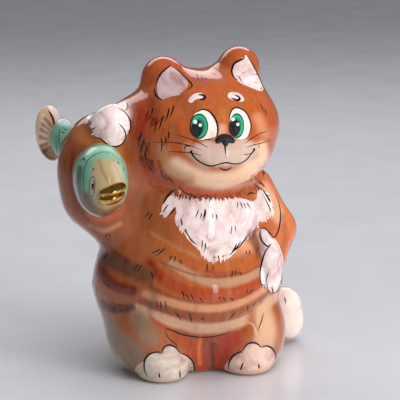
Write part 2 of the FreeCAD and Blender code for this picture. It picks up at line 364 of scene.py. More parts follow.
# Soft washes seen from the front: pieces, path, width, softness (both in steps of 0.44 mm), colour, strength. Most are
# glaze colours; those marked below are painted shade, painted highlights and painted reflections.
WASH = [
    # head
    (HEAD, [(190, 100), (225, 100), (255, 104)], 26, 14, "ginger", 0.7),
    (HEAD, [(222, 112), (223, 120)], 9, 8, "amber", 0.8),
    (HEAD, [(143, 112), (140, 138), (146, 164), (156, 182)], 15, 12, "ember", 0.85),
    (HEAD, [(152, 100), (156, 118)], 10, 9, "burnt", 0.7),
    (HEAD, [(172, 128), (178, 140)], 12, 10, "chestnut", 0.7),
    (HEAD, [(163, 150), (166, 166), (176, 174)], 13, 9, "tan", 0.8),
    (HEAD, [(176, 166), (200, 178), (228, 180), (252, 171)], 17, 9, "cream", 0.95),
    (HEAD, [(262, 146), (264, 158)], 10, 7, "cream", 0.9),
    (HEAD, [(250, 166), (262, 162)], 12, 8, "cream", 0.9),
    (HEAD, [(222, 128), (222, 136)], 8, 6, "sand", 0.85),
    (HEAD, [(200, 152), (212, 157), (226, 158), (240, 156), (250, 150)], 17, 7, "blush", 0.96),
    (HEAD, [(206, 145), (222, 147), (244, 143)], 9, 5, "blush", 0.8),
    # painted highlight: the lighter right side of the forehead, where the light falls
    (HEAD, [(258, 118), (265, 134)], 10, 9, "apricot", 0.7),
    (HEAD, [(168, 176), (180, 186), (196, 192), (216, 194), (240, 191)], 5, 6, "orange", 0.8),
    (HEAD, [(252, 184), (262, 178), (266, 170)], 6, 6, "orange", 0.85),
    # painted sheen: the purple haze of light on the crown between the ears
    (HEAD, [(196, 78), (210, 80), (222, 74)], 8, 7, "mauve", 0.75),
    (HEAD, [(163, 58), (150, 72), (142, 90)], 6, 5, "orange", 0.6),
    (HEAD, [(226, 62), (222, 76)], 6, 6, "ginger", 0.8),
    (HEAD, [(174, 92), (188, 104), (194, 116)], 14, 12, "chestnut", 0.85),
    (HEAD, [(164, 163), (176, 173), (190, 180)], 10, 10, "tan", 0.7),
    # painted shade: the left of the muzzle, turned away from the light, is darker
    (HEAD, [(188, 148), (196, 158), (205, 166)], 9, 7, "taupe", 0.85),
    # painted shade where the raised arm meets the cheek and the chest
    (("raised_arm", "torso", "head"), [(127, 168), (135, 188), (142, 204)], 12, 9, "bark", 0.8),
    # chest and belly
    # painted shade on the left of the chest
    (BODY, [(140, 188), (146, 212), (160, 232)], 30, 16, "chestnut", 0.75),
    (BODY, [(128, 226), (150, 246), (176, 256)], 12, 10, "clay", 0.6),
    (BODY, [(262, 196), (276, 208), (282, 230)], 14, 10, "apricot", 0.7),
    (BODY, [(230, 252), (254, 246)], 12, 8, "apricot", 0.6),
    (BODY, [(154, 238), (176, 256), (208, 267), (244, 268), (262, 260)], 10, 5, "ginger", 0.92),
    (BODY, [(206, 271), (222, 274), (238, 272)], 4, 4, "garnet", 0.7),
    (BODY, [(172, 264), (193, 276), (215, 283), (240, 280.5), (262, 271)], 9, 4, "fawn", 0.92),
    (BODY, [(148, 266), (168, 282), (194, 293), (220, 295), (246, 290), (264, 282)], 12, 5, "rust", 0.95),
    (BODY, [(150, 262), (158, 276)], 8, 7, "burnt", 0.7),
    (BODY, [(146, 294), (168, 302), (194, 308), (220, 308), (246, 301), (266, 288), (278, 278)], 8, 3.5, "apricot", 0.92),
    (BODY, [(142, 302), (168, 310), (198, 316), (226, 315), (252, 305), (272, 292)], 7, 4, "chestnut", 0.92),
    (BODY, [(136, 309), (164, 319), (190, 327), (215, 328.5), (240, 322), (262, 308), (275, 296)], 10, 4.5, "sand", 0.92),
    (BODY, [(150, 317), (164, 327), (182, 335), (206, 339), (230, 337), (250, 326), (264, 311)], 4, 4, "rust", 0.9),
    (BODY, [(180, 338), (196, 350), (202, 368)], 17, 8, "rust", 0.95),
    (BODY, [(232, 340), (224, 352), (220, 370)], 17, 9, "ember", 0.95),
    (BODY, [(206, 342), (208, 358), (210, 372)], 8, 9, "garnet", 0.7),
    # painted shade in the valley between the feet
    (BODY, [(213, 344), (213, 372)], 5, 6, "soot", 0.95),
    # painted highlight: a light streak beside the valley between the feet
    (BODY, [(201, 336), (199, 350), (200, 364)], 2, 4, "flame", 0.8),
    # the right thigh: partly its lighter glaze colour, partly a painted highlight where the light falls
    (BODY, [(262, 314), (266, 328), (264, 344)], 20, 10, "sand", 0.92),
    (BODY, [(252, 312), (250, 326)], 8, 8, "ginger", 0.8),
    (BODY, [(160, 262), (188, 273), (214, 277), (242, 274), (262, 265)], 1.6, 2.4, "soot", 0.6),
    (BODY, [(150, 286), (170, 296), (196, 302), (222, 302.5), (248, 295), (266, 283)], 1.8, 2.6, "burnt", 0.65),
    (BODY, [(148, 307), (170, 314), (196, 320), (220, 321), (244, 315), (262, 302)], 1.4, 2.2, "garnet", 0.55),
    (BODY, [(142, 268), (154, 292), (150, 312)], 7, 6, "umber", 0.5),
    # painted highlight on the top of the resting arm
    (("resting_arm",) + BODY, [(264, 188), (272, 202), (279, 218)], 12, 7, "sand", 0.85),
    (("resting_arm",), [(283, 216), (285, 236), (280, 256)], 5, 5, "clay", 0.75),
    # painted highlight: a pale crescent on the arm under the fish
    (ARM, [(88, 226), (104, 231), (120, 224)], 4, 4, "apricot", 0.7),
    (BODY, [(230, 232), (244, 244), (258, 240)], 12, 9, "peach", 0.6),
    # painted sheen: a pale crescent across the chest
    (BODY, [(150, 232), (176, 247), (200, 258)], 3, 4, "tan", 0.45),
    # painted reflection: a darker and a lighter vertical band of a tall light down the belly
    (BODY, [(194, 262), (196, 300), (195, 330)], 3, 5, "garnet", 0.22),
    (BODY, [(226, 258), (229, 290), (228, 330)], 3, 6, "fawn", 0.2),
    # left flank
    (BODY, [(104, 258), (122, 266), (146, 276)], 15, 8, "umber", 0.88),
    (BODY, [(100, 270), (112, 284), (132, 291)], 11, 4, "burnt", 0.95),
    (BODY, [(98, 292), (118, 297), (140, 298)], 3.5, 3, "mauve", 0.85),
    (BODY, [(98, 303), (112, 309), (132, 308)], 8, 4, "soot", 0.95),
    (BODY, [(100, 322), (112, 340), (132, 356)], 26, 9, "stone", 0.95),
    (BODY, [(138, 318), (150, 338)], 18, 9, "stone", 0.9),
    (BODY, [(118, 352), (136, 366)], 8, 6, "stone", 0.7),
    (BODY, [(270, 262), (288, 272)], 12, 8, "tan", 0.7),
    # raised arm
    (ARM, [(78, 134), (96, 144), (116, 150)], 14, 9, "amber", 0.85),
    (ARM, [(64, 158), (64, 180), (70, 206), (84, 228)], 9, 6, "chestnut", 0.85),
    # painted shade on the arm along the left of the fish
    (ARM, [(73, 152), (71, 180), (76, 204), (88, 220)], 4, 4, "burnt", 0.8),
    (ARM, [(88, 214), (102, 219.5), (118, 215), (126, 206)], 5, 4, "orange", 0.9),
    (ARM, [(130, 150), (136, 178), (130, 208)], 12, 8, "chestnut", 0.95),
    (ARM, [(92, 230), (104, 242), (118, 236)], 9, 7, "chestnut", 0.7),
    (ARM, [(70, 134), (60, 150), (57, 165)], 2.5, 3, "garnet", 0.6),
    (BODY + ARM, [(104, 244), (112, 250), (128, 262)], 4, 5, "soot", 0.7),
    # fish
    (FISH, [(88, 156), (98, 148), (112, 148), (120, 154)], 7, 4, "mint", 0.9),
    # painted shade along the fish's left edge, against the arm
    (FISH, [(80, 168), (79, 186), (84, 202), (92, 210)], 5, 3, "moss", 0.85),
    (FISH, [(104, 171), (107, 184), (108, 204)], 25, 7, "straw", 0.97),
    (FISH, [(116, 166), (122, 186), (122, 200)], 9, 6, "celery", 0.75),
    # painted shade along the two ridges of the fish's snout
    (FISH, [(99, 160), (103, 172), (108, 182)], 2, 3, "olive", 0.7),
    (FISH, [(112, 158), (118, 172), (124, 186)], 2, 3, "fawn", 0.6),
    # painted shade along the bottom of the fish, where it meets the arm
    (FISH, [(85, 196), (94, 209), (108, 214), (122, 207)], 9, 6, "bark", 0.85),
    # painted highlight on the top of the fish's tail stem
    (FISH, [(60, 122), (74, 124)], 6, 5, "ice", 0.85),
    (FISH, [(56, 136), (57, 154)], 6, 5, "sage", 0.45),
    # tail and feet
    (("tail",), [(282, 341), (290, 340)], 5, 4, "flame", 0.8),
]


def path_distance(px, path):
    best = np.full(len(px), 1e9)
    pts = smooth_line(path, 8)
    for a, b in zip(pts[:-1], pts[1:]):
        d = b - a
        t = np.clip(((px - a) @ d) / max(d @ d, 1e-9), 0, 1)
        best = np.minimum(best, np.linalg.norm(px - a - t[:, None] * d, axis=1))
    return best


CRISP = ("fish_body", "resting_paw", "foot_right", "foot_left", "tail")


def paint(v, n, k):
    """The washes at each point of piece k, as linear RGB. The ginger pieces run into each other, the rest have an edge."""
    base = np.array([lin(BASE[m]) for m in NODES])
    is_hand = NODES[k] == "resting_paw"
    share = np.zeros((len(v), len(NODES)))
    if NODES[k] in CRISP:
        share[:, k] = 1
    else:
        soft_ = [i for i, m in enumerate(NODES) if m not in CRISP]
        d = np.stack([piece(cols(v), NODES[i]) for i in soft_], 1).astype(float)
        w = np.exp(-(d - d.min(1)[:, None]) / 1.3)
        share[:, soft_] = w / w.sum(1)[:, None]
    around = share @ base
    x, y, z = v.T
    ang = np.degrees(np.arctan2(x, y))           # 0 at the middle of the back
    is_t = share[:, NODES.index("torso")]
    is_h = share[:, [NODES.index(m) for m in HEAD]].sum(1)
    is_a = share[:, [NODES.index(m) for m in ("raised_arm", "raised_paw", "resting_arm")]].sum(1)
    is_tail = share[:, NODES.index("tail")]

    def lay(colour, k):
        around[:] = around + (lin(colour) - around) * k[:, None]

    lay((176, 92, 44), is_t * step(z, 20, 60) * .8)
    lay((196, 172, 138), is_t * (1 - step(z, 14, 30)))
    for zc, half, reach in ((74, 3.2, 75), (60, 3.6, 95), (46, 3.8, 110), (32, 3.4, 118)):
        zz = z - zc + 4.5 * np.cos(np.radians(ang * 1.5)) + 1.3 * np.sin(np.radians(ang * 5 + zc * 9))
        k = (1 - step(np.abs(zz), half * .55, half)) * (1 - step(np.abs(ang), reach - 30, reach))
        lay((122, 52, 22), is_t * k * .88)
        lay((222, 172, 138), is_t * (1 - step(np.abs(zz + half + 2.2), 0.8, 2.4)) * (1 - step(np.abs(ang), reach - 34, reach)) * .75)
    for zc, half in ((118, 2.4), (107, 2.8), (96, 2.6)):
        zz = z - zc + 0.004 * (x - 4) ** 2
        k = (1 - step(np.abs(zz), half * .5, half)) * step(y, 2, 12) * (1 - step(np.abs(x - 4), 14, 22))
        lay((128, 52, 20), is_h * k * .85)
    lay((186, 104, 56), is_a * step(y, -2, 8) * .7)
    for zc in (68, 82, 97):
        k = (1 - step(np.abs(z - zc + 0.25 * (x + 34)), 1.2, 2.8)) * step(y, 3, 9)
        lay((120, 50, 22), is_a * k * .8)
    lay((204, 112, 58), is_tail * (1 - step(x, 20, 31)))
    lay((150, 66, 30), is_tail * (1 - step(np.abs(x - 27 - 0.2 * (z - 9)), 1.0, 2.4)) * .8)

    # the white fur goes on round the arm above the raised paw, and round the hand
    white = step(share[:, NODES.index("raised_paw")], .5, .8) * step(z, 107, 111)
    reach = 1.0 + 1.6 * step(z, 104, 109)
    near_paw = 1 - step(piece(cols(v), "raised_paw").astype(float) / reach, 1.0, 2.4)
    lay((230, 214, 208), near_paw * share[:, [NODES.index(m) for m in ARM]].sum(1))
    white = np.maximum(white, near_paw * share[:, [NODES.index(m) for m in ARM]].sum(1) * step(z, 108, 111))
    if is_hand:
        rest_ = np.minimum(piece(cols(v), "torso"), piece(cols(v), "resting_arm")) - piece(cols(v), "resting_paw")
        lay((230, 216, 212), step(rest_.astype(float), 0.4, 1.6))
        white = step(rest_.astype(float), 1.6, 2.8)

    px = seen_at(v)
    view = EYE - v
    view /= np.linalg.norm(view, axis=1)[:, None]
    facing = step((n * view).sum(1), 0.04, 0.34)
    out = share @ base
    out += (lin((226, 204, 200)) - out) * white[:, None]
    lay_z = step(z, 20, 60)[:, None] * is_t[:, None] * .35
    out += (lin((176, 92, 44)) - out) * lay_z
    for pieces_, path, width, soft, colour, strength in WASH:
        ids = [NODES.index(m) for m in pieces_]
        p = np.asarray(path, float)
        mine = share[:, ids].sum(1)
        m = (mine > 0.01) & (facing > 0)
        far = width / 2 + soft
        m &= (px[:, 0] > p[:, 0].min() - far) & (px[:, 0] < p[:, 0].max() + far)
        m &= (px[:, 1] > p[:, 1].min() - far) & (px[:, 1] < p[:, 1].max() + far)
        idx = np.nonzero(m)[0]
        if len(idx) == 0:
            continue
        d = path_distance(px[idx], path)
        k = (1 - step(d, max(width / 2 - soft / 2, 0), width / 2 + soft / 2)) * strength * mine[idx]
        out[idx] += (lin(TINT[colour]) - out[idx]) * k[:, None]
    return around + (out - around) * facing[:, None]


# =====================================================================================================================
# 4. Materials
# =====================================================================================================================
def new_material(name):
    m = bpy.data.materials.new(name)
    m.use_nodes = True
    nt = m.node_tree
    return m, nt, nt.nodes["Principled BSDF"]


def node(nt, kind, **sets):
    n = nt.nodes.new(kind)
    for k, v in sets.items():
        setattr(n, k, v)
    return n


def noise(nt, coord, scale, detail=4.0, rough=0.55, distort=0.0, stretch=None):
    if stretch is not None:
        mp = node(nt, "ShaderNodeMapping")
        mp.inputs["Scale"].default_value = stretch
        nt.links.new(coord, mp.inputs["Vector"])
        coord = mp.outputs["Vector"]
    n = node(nt, "ShaderNodeTexNoise")
    n.inputs["Scale"].default_value = scale
    n.inputs["Detail"].default_value = detail
    n.inputs["Roughness"].default_value = rough
    n.inputs["Distortion"].default_value = distort
    nt.links.new(coord, n.inputs["Vector"])
    return n.outputs["Fac"]


def ramp(nt, fac, stops):
    r = node(nt, "ShaderNodeValToRGB")
    el = r.color_ramp.elements
    while len(el) < len(stops):
        el.new(0.5)
    for e, (pos, col) in zip(el, stops):
        e.position = pos
        e.color = (*col, 1.0) if len(col) == 3 else col
    nt.links.new(fac, r.inputs["Fac"])
    return r.outputs["Color"]


def mix(nt, a, b, fac, blend="MIX"):
    m = node(nt, "ShaderNodeMix", data_type="RGBA", blend_type=blend)
    if isinstance(fac, float):
        m.inputs[0].default_value = fac
    else:
        nt.links.new(fac, m.inputs[0])
    for sock, val in ((m.inputs[6], a), (m.inputs[7], b)):
        if isinstance(val, tuple):
            sock.default_value = (*val, 1.0)
        else:
            nt.links.new(val, sock)
    return m.outputs[2]


def spread(nt, fac, lo, hi):
    m = node(nt, "ShaderNodeMapRange")
    m.inputs["From Min"].default_value = 0.3
    m.inputs["From Max"].default_value = 0.7
    m.inputs["To Min"].default_value = lo
    m.inputs["To Max"].default_value = hi
    nt.links.new(fac, m.inputs["Value"])
    return m.outputs["Result"]


def bump(nt, shader, pairs):
    prev = None
    for fac, dist, strength in pairs:
        b = node(nt, "ShaderNodeBump")
        b.inputs["Distance"].default_value = dist
        b.inputs["Strength"].default_value = strength
        nt.links.new(fac, b.inputs["Height"])
        if prev is not None:
            nt.links.new(prev, b.inputs["Normal"])
        prev = b.outputs["Normal"]
    nt.links.new(prev, shader.inputs["Normal"])


def glaze(name, streak=0.5, coat=1.0, rough=(0.16, 0.24)):
    """Brushed washes of underglaze colour under a clear, thick, slightly uneven glaze."""
    m, nt, sh = new_material(name)
    co = node(nt, "ShaderNodeTexCoord").outputs["Object"]
    at = node(nt, "ShaderNodeAttribute", attribute_name="paint").outputs["Color"]
    wide = noise(nt, co, 70, 5, 0.6, 0.6)
    hair = noise(nt, co, 420, 4, 0.62, 0.3, (1.0, 1.0, 0.22))
    fine = noise(nt, co, 1900, 2, 0.5)
    c = mix(nt, at, mix(nt, at, (0.30, 0.10, 0.035), 1.0, "MULTIPLY"), spread(nt, wide, 0.0, 0.20 * streak))
    c = mix(nt, c, mix(nt, at, (1.0, 0.80, 0.62), 0.5, "SCREEN"), spread(nt, hair, 0.0, 0.16 * streak))
    c = mix(nt, c, mix(nt, c, (0.62, 0.52, 0.50), 1.0, "MULTIPLY"), spread(nt, hair, 0.34 * streak, 0.0))
    c = mix(nt, c, mix(nt, c, (0.8, 0.76, 0.74), 1.0, "MULTIPLY"), spread(nt, fine, 0.0, 0.22 * streak))
    nt.links.new(c, sh.inputs["Base Color"])
    nt.links.new(spread(nt, wide, *rough), sh.inputs["Roughness"])
    sh.inputs["IOR"].default_value = 1.5
    sh.inputs["Specular IOR Level"].default_value = 0.12
    sh.inputs["Coat Weight"].default_value = coat
    sh.inputs["Coat Roughness"].default_value = 0.04
    sh.inputs["Coat IOR"].default_value = 1.42
    bump(nt, sh, [(noise(nt, co, 48, 2, 0.4), 0.00035, 0.35), (hair, 0.00003, 0.22)])
    return m


def enamel(name, stops, scale=95.0, rough=(0.18, 0.3), coat=0.9, fleck=None, tinted=False):
    """A film of opaque painted colour, cloudy where the brush thinned it."""
    m, nt, sh = new_material(name)
    co = node(nt, "ShaderNodeTexCoord").outputs["Object"]
    cloud = noise(nt, co, scale, 5, 0.62, 1.2)
    c = ramp(nt, cloud, stops)
    if tinted:
        c = mix(nt, c, node(nt, "ShaderNodeAttribute", attribute_name="paint").outputs["Color"], 1.0, "MULTIPLY")
    hair = noise(nt, co, 700, 3, 0.6, 0.4, (1.0, 1.0, 0.25))
    c = mix(nt, c, mix(nt, c, fleck or (0.80, 0.72, 0.74), 1.0, "MULTIPLY"), spread(nt, hair, 0.5, 0.0))
    nt.links.new(c, sh.inputs["Base Color"])
    nt.links.new(spread(nt, cloud, *rough), sh.inputs["Roughness"])
    sh.inputs["IOR"].default_value = 1.5
    sh.inputs["Specular IOR Level"].default_value = 0.12
    sh.inputs["Coat Weight"].default_value = coat
    sh.inputs["Coat Roughness"].default_value = 0.05
    bump(nt, sh, [(hair, 0.00004, 0.3)])
    return m


MAT = {
    "glaze": glaze("painted_glaze"),
    "white": enamel("white_enamel", [(0.30, tuple(lin((186, 154, 152)))), (0.46, tuple(lin((226, 204, 201)))), (0.62, tuple(lin((244, 230, 226))))], tinted=True),
    "ink": enamel("black_ink_and_painted_reflection", [(0.3, (0.006, 0.005, 0.005)), (0.7, (0.018, 0.012, 0.011))], 300, (0.2, 0.34), 0.6),
    "brown": enamel("brown_ink_and_painted_shade", [(0.3, tuple(lin((70, 24, 10)))), (0.7, tuple(lin((120, 48, 22))))], 300, (0.2, 0.34), 0.6),
    "umber": enamel("umber_brush", [(0.3, tuple(lin((96, 34, 10)))), (0.7, tuple(lin((142, 56, 20))))], 300, (0.2, 0.34), 0.7),
    "rust": enamel("rust_brush", [(0.3, tuple(lin((140, 54, 16)))), (0.7, tuple(lin((182, 84, 32))))], 300, (0.2, 0.34), 0.6),
    "teal": enamel("teal_ink", [(0.3, tuple(lin((40, 84, 74)))), (0.7, tuple(lin((70, 120, 104))))], 300, (0.2, 0.34), 0.6),
    "nose": enamel("black_nose", [(0.3, (0.010, 0.010, 0.011)), (0.7, (0.03, 0.03, 0.034))], 260, (0.22, 0.34), 0.5),
    "glint": enamel("white_dot", [(0.3, tuple(lin((226, 244, 240)))), (0.7, tuple(lin((250, 255, 252))))], 300, (0.2, 0.3), 0.6),
    "eye_white": enamel("eye_white", [(0.3, tuple(lin((224, 200, 190)))), (0.6, tuple(lin((250, 240, 234))))], 160, (0.16, 0.26), 1.0),
}


def iris_material():
    m, nt, sh = new_material("iris_green")
    rad = node(nt, "ShaderNodeAttribute", attribute_name="paint").outputs["Color"]
    sep = node(nt, "ShaderNodeSeparateColor")
    nt.links.new(rad, sep.inputs["Color"])
    co = node(nt, "ShaderNodeTexCoord").outputs["Object"]
    c = ramp(nt, sep.outputs[0], [(0.0, tuple(lin((16, 84, 62)))), (0.55, tuple(lin((24, 128, 94)))), (0.80, tuple(lin((62, 176, 136)))),
                                  (0.9, tuple(lin((18, 96, 70)))), (1.0, tuple(lin((8, 60, 44))))])
    f = noise(nt, co, 1500, 3, 0.6)
    c = mix(nt, c, mix(nt, c, (0.6, 0.8, 0.75), 1.0, "MULTIPLY"), spread(nt, f, 0.0, 0.7))
    nt.links.new(c, sh.inputs["Base Color"])
    nt.links.new(spread(nt, f, 0.14, 0.22), sh.inputs["Roughness"])
    sh.inputs["Coat Weight"].default_value = 1.0
    sh.inputs["Coat Roughness"].default_value = 0.04
    bump(nt, sh, [(f, 0.00002, 0.3)])
    return m


MAT["iris"] = iris_material()


def gold_material():
    m, nt, sh = new_material("gold_lustre")
    co = node(nt, "ShaderNodeTexCoord").outputs["Object"]
    f = noise(nt, co, 260, 4, 0.6, 0.8)
    g = noise(nt, co, 1800, 3, 0.6)
    nt.links.new(ramp(nt, f, [(0.3, tuple(lin((168, 112, 34)))), (0.55, tuple(lin((222, 172, 84)))), (0.75, tuple(lin((240, 206, 134))))]), sh.inputs["Base Color"])
    sh.inputs["Metallic"].default_value = 1.0
    nt.links.new(spread(nt, g, 0.13, 0.27), sh.inputs["Roughness"])
    bump(nt, sh, [(f, 0.0001, 0.3), (g, 0.00002, 0.3)])
    return m


MAT["gold"] = gold_material()
# =====================================================================================================================
# 5. Making the meshes
# =====================================================================================================================
def build(name, verts, faces, mat, normals=None, colours=None, slot=None, replaces=(), flat_from=None):
    """A piece from millimetre points. normals has one row to a vertex; a face from flat_from on keeps its own normal."""
    me = bpy.data.meshes.new(name)
    me.from_pydata((np.asarray(verts, float) / 1000).tolist(), [], [list(map(int, f)) for f in faces])
    me.polygons.foreach_set("use_smooth", [True] * len(me.polygons))
    me.update()
    if colours is not None:
        at = me.color_attributes.new("paint", "FLOAT_COLOR", "POINT")
        at.data.foreach_set("color", np.hstack([colours, np.ones((len(colours), 1))]).astype(F32).ravel())
    if normals is not None:
        total = len(me.loops)
        vi = np.zeros(total, np.int32)
        me.loops.foreach_get("vertex_index", vi)
        ln = np.asarray(normals, float)[vi]
        if flat_from is not None and flat_from < len(me.polygons):
            pn = np.zeros(len(me.polygons) * 3)
            me.polygons.foreach_get("normal", pn)
            ls = np.zeros(len(me.polygons), np.int32)
            lt = np.zeros(len(me.polygons), np.int32)
            me.polygons.foreach_get("loop_start", ls)
            me.polygons.foreach_get("loop_total", lt)
            owner = np.repeat(np.arange(len(ls)), lt)
            flat = owner >= flat_from
            ln[flat] = pn.reshape(-1, 3)[owner[flat]]
        me.normals_split_custom_set(ln.tolist())
    me.materials.append(mat)
    ob = bpy.data.objects.new(name, me)
    bpy.context.scene.collection.objects.link(ob)
    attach(ob, "root")
    if replaces:
        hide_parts(*replaces)
    return ob


SLOT = dict(torso="ginger_glaze", head="ginger_glaze", ear_right="ginger_glaze", ear_left="ginger_glaze",
            raised_arm="ginger_glaze", raised_paw="white_glaze", fish_body="mint_glaze", resting_arm="ginger_glaze",
            resting_paw="white_glaze", foot_right="white_glaze", foot_left="white_glaze", tail="white_glaze")
CAD_NAME = dict(torso="body_shell", head="head_shell")


def shell_piece(k):
    """One luted piece: its glazed outside, the inside of its wall, and the rim where it meets its neighbours."""
    name = NODES[k]
    q = Q[label_q == k]
    if name == "torso":       # the vent goes right through the base
        c = V[q].mean(1)
        q = q[~((np.hypot(c[:, 0] - VENT[0], c[:, 1] - VENT[1]) < VENT[2]) & (c[:, 2] < 1.0))]
    # the piece's own quads, with their corners numbered afresh
    used, inv = np.unique(q, return_inverse=True)
    q = inv.reshape(q.shape)
    v, n = V[used], N[used]
    c = paint(v, n, k)
    e = np.concatenate([q[:, [0, 1]], q[:, [1, 2]], q[:, [2, 3]], q[:, [3, 0]]])
    key = e[:, 0].astype(np.int64) * len(used) + e[:, 1]
    back = e[:, 1].astype(np.int64) * len(used) + e[:, 0]
    rim = e[~np.isin(key, back)]
    inner = v - n * WALL[name]
    inner[:, 2] = np.where(v[:, 2] > -0.5, np.maximum(inner[:, 2], 0.15), inner[:, 2])
    m = len(v)
    faces = q.tolist() + (q[:, ::-1] + m).tolist() + [[b, a, a + m, b + m] for a, b in rim.tolist()]
    cad = CAD_NAME.get(name, name)
    return build(cad + ".cast", np.vstack([v, inner]), faces, MAT["glaze"], np.vstack([n, -n]), np.vstack([c, c * 0 + lin((222, 206, 186))]),
                 SLOT[name], (cad,), 2 * len(q))


for k in range(len(NODES)):
    shell_piece(k)

LIFT = dict(patch=0.03, patch2=0.05, patch3=0.07, patch4=0.09, line=0.10)


def film(name, outline, mat, lift=0.03, grid=2.2, colours=None, edge=0.9, slot="white_glaze", tint=(1.0, 1.0, 1.0)):
    """A painted area: the outline, in camera steps, is filled, laid on the glaze and given the thickness of paint."""
    o = np.asarray(outline, float)
    seg = np.linalg.norm(np.roll(o, -1, 0) - o, axis=1)
    dense = []
    for a, b, s in zip(o, np.roll(o, -1, 0), seg):
        k = max(1, int(math.ceil(s / edge)))
        dense += [a + (b - a) * t / k for t in range(k)]
    dense = np.array(dense)
    lo, hi = dense.min(0), dense.max(0)
    xs, ys = np.arange(lo[0], hi[0], grid), np.arange(lo[1], hi[1], grid * .87)
    inside = np.array([(x + (j % 2) * grid / 2, y) for j, y in enumerate(ys) for x in xs])
    if len(inside):
        a, b = dense, np.roll(dense, -1, 0)
        c = np.zeros(len(inside), int)
        near = np.full(len(inside), 1e9)
        for p, q in zip(a, b):
            cross = ((p[1] > inside[:, 1]) != (q[1] > inside[:, 1]))
            with np.errstate(divide="ignore", invalid="ignore"):
                xi = (q[0] - p[0]) * (inside[:, 1] - p[1]) / (q[1] - p[1]) + p[0]
            c += (cross & (inside[:, 0] < xi)).astype(int)
            near = np.minimum(near, np.hypot(inside[:, 0] - p[0], inside[:, 1] - p[1]))
        inside = inside[(c % 2 == 1) & (near > edge * .75)]
    pts = np.vstack([dense, inside]) if len(inside) else dense
    m = len(dense)
    co, _, tris, *_ = geometry.delaunay_2d_cdt([Vector(p) for p in pts], [], [list(range(m))], 1, 1e-5)
    co = np.array([tuple(c) for c in co])
    tris = np.array([t for t in tris if len(t) == 3])
    area = np.cross(co[tris[:, 1]] - co[tris[:, 0]], co[tris[:, 2]] - co[tris[:, 0]])
    tris = tris[np.abs(area) > 1e-7]
    area = area[np.abs(area) > 1e-7]
    tris = np.where((area > 0)[:, None], tris[:, ::-1], tris)   # counter-clockwise seen from the camera
    surf = on_front(co)
    for _ in range(3):          # finer where the surface turns away
        e = np.sort(np.concatenate([tris[:, [0, 1]], tris[:, [1, 2]], tris[:, [2, 0]]]), 1)
        key, where = np.unique(e[:, 0] * len(co) + e[:, 1], return_inverse=True)
        i, j = key // len(co), key % len(co)
        length = np.linalg.norm(surf[i] - surf[j], axis=1)
        long = length > 1.15
        if not long.any():
            break
        new = np.where(long, len(co) + np.cumsum(long) - 1, -1)
        surf = np.vstack([surf, settle(ON["fn"], (surf[i[long]] + surf[j[long]]) / 2, 2)])
        co = np.vstack([co, (co[i[long]] + co[j[long]]) / 2])
        m3 = new[where].reshape(3, -1).T
        out = []
        for (p, q, r), (u, v, w) in zip(tris.tolist(), m3.tolist()):
            n_new = (u >= 0) + (v >= 0) + (w >= 0)
            if n_new == 0:
                out.append((p, q, r))
            elif n_new == 3:
                out += [(p, u, w), (u, q, v), (w, v, r), (u, v, w)]
            else:
                while not (u >= 0 and w < 0):
                    p, q, r, u, v, w = q, r, p, v, w, u
                if v < 0:
                    out += [(p, u, r), (u, q, r)]
                else:
                    out += [(u, q, v), (p, u, r), (u, v, r)]
        tris = np.array(out)
    size = np.max([np.linalg.norm(surf[tris[:, x]] - surf[tris[:, y]], axis=1) for x, y in ((0, 1), (1, 2), (2, 0))], axis=0)
    nn = normals_at(ON["fn"], surf)
    view = EYE - surf
    view /= np.linalg.norm(view, axis=1)[:, None]
    turned = (nn * view).sum(1)[tris].min(1)
    tris = tris[(size < 2.2) & (turned > 0.03)]
    used, inv = np.unique(tris, return_inverse=True)
    tris, co, surf, nn = inv.reshape(tris.shape), co[used], surf[used], nn[used]
    top, low = surf + nn * lift, surf - nn * 0.12
    e = np.concatenate([tris[:, [0, 1]], tris[:, [1, 2]], tris[:, [2, 0]]])
    key, back = e[:, 0] * len(co) + e[:, 1], e[:, 1] * len(co) + e[:, 0]
    rim = e[~np.isin(key, back)]
    k = len(co)
    faces = tris.tolist() + (tris[:, ::-1] + k).tolist() + [[b, a, a + k, b + k] for a, b in rim.tolist()]
    cc = colours(co) if colours is not None else np.repeat(np.array([tint]), k, 0)
    return build(name, np.vstack([top, low]), faces, mat, np.vstack([nn, nn]), np.vstack([cc, cc]), slot)


STROKES = {}


def stroke(kind, pts, width, lift=None, place=on_front, spacing=0.55):
    """One brush line: pts in camera steps; width in mm at each point, or a number for a line that tapers at its ends."""
    p = np.asarray(pts, float)
    line = smooth_line(p, 10)
    if np.isscalar(width):
        t = np.linspace(0, 1, len(line))
        w = width * (0.16 + 0.84 * np.sin(math.pi * np.clip(t, 0.0, 1.0)) ** 0.6)
    else:
        w = np.interp(np.linspace(0, len(width) - 1, len(line)), np.arange(len(width)), width)
    c = place(line)
    if place is on_front:          # the brush lifts where the surface drops away
        gap = np.linalg.norm(np.diff(c, axis=0), axis=1)
        lost = gap > 3.2 * 0.436 * np.linalg.norm(np.diff(line, axis=0), axis=1) + .02
        for r in np.split(np.arange(len(c)), np.nonzero(lost)[0] + 1):
            if len(r) > 2:
                lay_line(kind, c[r], w[r], lift, spacing)
    else:
        lay_line(kind, c, w, lift, spacing)


def lay_line(kind, c, w, lift, spacing):
    s = np.concatenate([[0], np.cumsum(np.linalg.norm(np.diff(c, axis=0), axis=1))])
    if s[-1] < 0.2:
        return
    k = max(3, int(s[-1] / spacing) + 1)
    at = np.linspace(0, s[-1], k)
    c = np.stack([np.interp(at, s, c[:, i]) for i in range(3)], 1)
    w = np.interp(at, s, w)
    c = settle(ON["fn"], c, 2)
    n = normals_at(ON["fn"], c)
    t = np.gradient(c, axis=0)
    t /= np.maximum(np.linalg.norm(t, axis=1), 1e-9)[:, None]
    side = np.cross(n, t)
    side /= np.maximum(np.linalg.norm(side, axis=1), 1e-9)[:, None]
    STROKES.setdefault(kind, []).append((c, n, side, w, LIFT["line"] if lift is None else lift))


